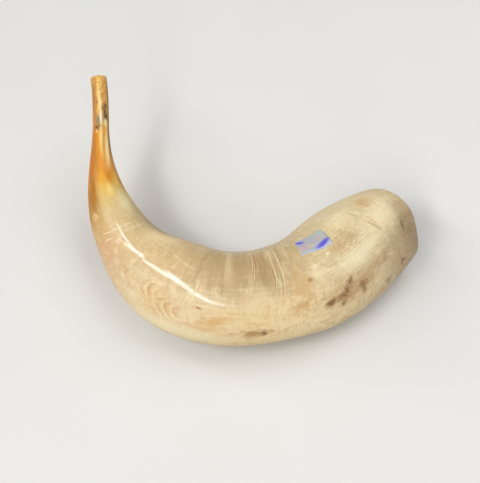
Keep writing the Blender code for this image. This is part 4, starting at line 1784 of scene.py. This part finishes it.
@dataclass
class Studio:
    """The pale floor, a chain of strip lights on the left, two soft boxes, a soft sky and the camera."""

    lamps: tuple[Lamp, ...] = (
        Lamp("tail_strip", (-0.98, -3.10, 1.74), (-0.20, -4.60, 1.74), 0.40, 8.0),
        Lamp("front_strip", (-1.25, -0.10, 1.74), (-0.92, -3.70, 1.74), 0.50, 32.0),
        Lamp("left_strip", (-1.60, 0.40, 0.94), (-1.60, -1.70, 2.60), 0.42, 20.0),
        Lamp("low_strip", (-1.60, 0.98, 0.92), (-1.60, 0.50, 0.92), 0.22, 2.4),
        Lamp("back_strip", (-1.60, 1.32, 3.30), (-1.60, 0.98, 0.95), 0.20, 9.0),
        Lamp("back_box", (0.15, 0.45, 1.40), (1.65, 0.45, 1.40), 1.5, 14.0),
        Lamp("front_box", (-0.75, -1.35, 0.85), (1.25, -1.35, 0.85), 1.6, 4.0),
    )
    lamp_colour: Point = (0.98, 0.99, 1.0)
    floor_size: float = 6.0
    sky: Colour = screen(250, 250, 250)
    sky_strength: float = 0.24
    aim: Point = (-0.0077, -0.0044, 0.0)
    camera_distance: float = 0.5465
    camera_elevation: float = 57.0
    camera_angle: float = 36.0
    sensor_width: float = 36.0  # in millimetres

    def lay_floor(self, finish: bpy.types.Material) -> None:
        """Lays the floor under the horn."""
        half = self.floor_size / 2
        mesh = bpy.data.meshes.new("floor")
        corners = [(-half, -half, 0.0), (half, -half, 0.0), (half, half, 0.0), (-half, half, 0.0)]
        mesh.from_pydata(corners, [], [(0, 1, 2, 3)])
        mesh.materials.append(finish)
        show("floor", mesh)

    def hang(self, lamp: Lamp) -> None:
        """Hangs a light so that its length runs between its ends and its face looks at the horn."""
        start, end = Vector(lamp.start), Vector(lamp.end)
        middle = (start + end) / 2
        along = (end - start).normalized()
        back = (middle - along * middle.dot(along)).normalized()
        data = bpy.data.lights.new(lamp.name, "AREA")
        data.shape = "ELLIPSE"
        data.size = lamp.breadth
        data.size_y = (end - start).length
        data.energy = lamp.power
        data.color = self.lamp_colour
        holder = bpy.data.objects.new(lamp.name, data)
        turn = Matrix((along.cross(back), along, back)).transposed()
        holder.matrix_world = Matrix.Translation(middle) @ turn.to_4x4()
        bpy.context.scene.collection.objects.link(holder)

    def light_sky(self) -> None:
        """Gives an even, soft light from all round."""
        world = bpy.data.worlds.new("soft_sky")
        world.use_nodes = True
        background = world.node_tree.nodes["Background"]
        background.inputs["Color"].default_value = self.sky
        background.inputs["Strength"].default_value = self.sky_strength
        bpy.context.scene.world = world

    def set_camera(self) -> None:
        """Stands the camera at the photograph's angle."""
        data = bpy.data.cameras.new("camera")
        data.sensor_width = self.sensor_width
        data.lens = self.sensor_width / 2 / math.tan(math.radians(self.camera_angle / 2))
        camera = bpy.data.objects.new("camera", data)
        rise = math.radians(self.camera_elevation)
        offset = Vector((0.0, -math.cos(rise), math.sin(rise))) * self.camera_distance
        camera.location = Vector(self.aim) + offset
        camera.rotation_euler = (-offset).to_track_quat("-Z", "Y").to_euler()
        bpy.context.scene.collection.objects.link(camera)
        bpy.context.scene.camera = camera

    def build(self, floor: bpy.types.Material) -> None:
        """Sets up the floor, the light and the camera."""
        self.lay_floor(floor)
        for lamp in self.lamps:
            self.hang(lamp)
        self.light_sky()
        self.set_camera()
        bpy.context.scene.view_settings.view_transform = "Standard"


def tell(piece: bpy.types.Object) -> None:
    """Logs a piece's name and its count of faces."""
    log.info("%s: %d faces", piece.name, len(piece.data.polygons))


def main() -> None:
    """Builds the pieces in order and reports each one."""
    logging.basicConfig(level=logging.INFO, format="%(name)s: %(message)s")
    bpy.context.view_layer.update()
    form = HornForm()
    groups = Groups()
    shell = HornShell(form).build(HornFinish().material(groups, form), HollowFinish().material(groups))
    tell(shell)
    tree = LineTree()
    tell(FineLines("growth_lines", GROWTH_LINES, form).build(tree, shell, GROWTH_FINISH.material(groups)))
    # These lines are gouges, creases, brown edges and one painted shadow
    tell(FineLines("grooves", GROOVES_AND_SHADOW, form).build(tree, shell, GROOVE_AND_SHADOW_FINISH.material(groups)))
    tell(FoilLabel(form).build(shell, FoilFinish().material()))
    tell(LacquerDrop(form).build(LacquerFinish().material()))
    Studio().build(FloorFinish().material())


if __name__ == "__main__":
    main()
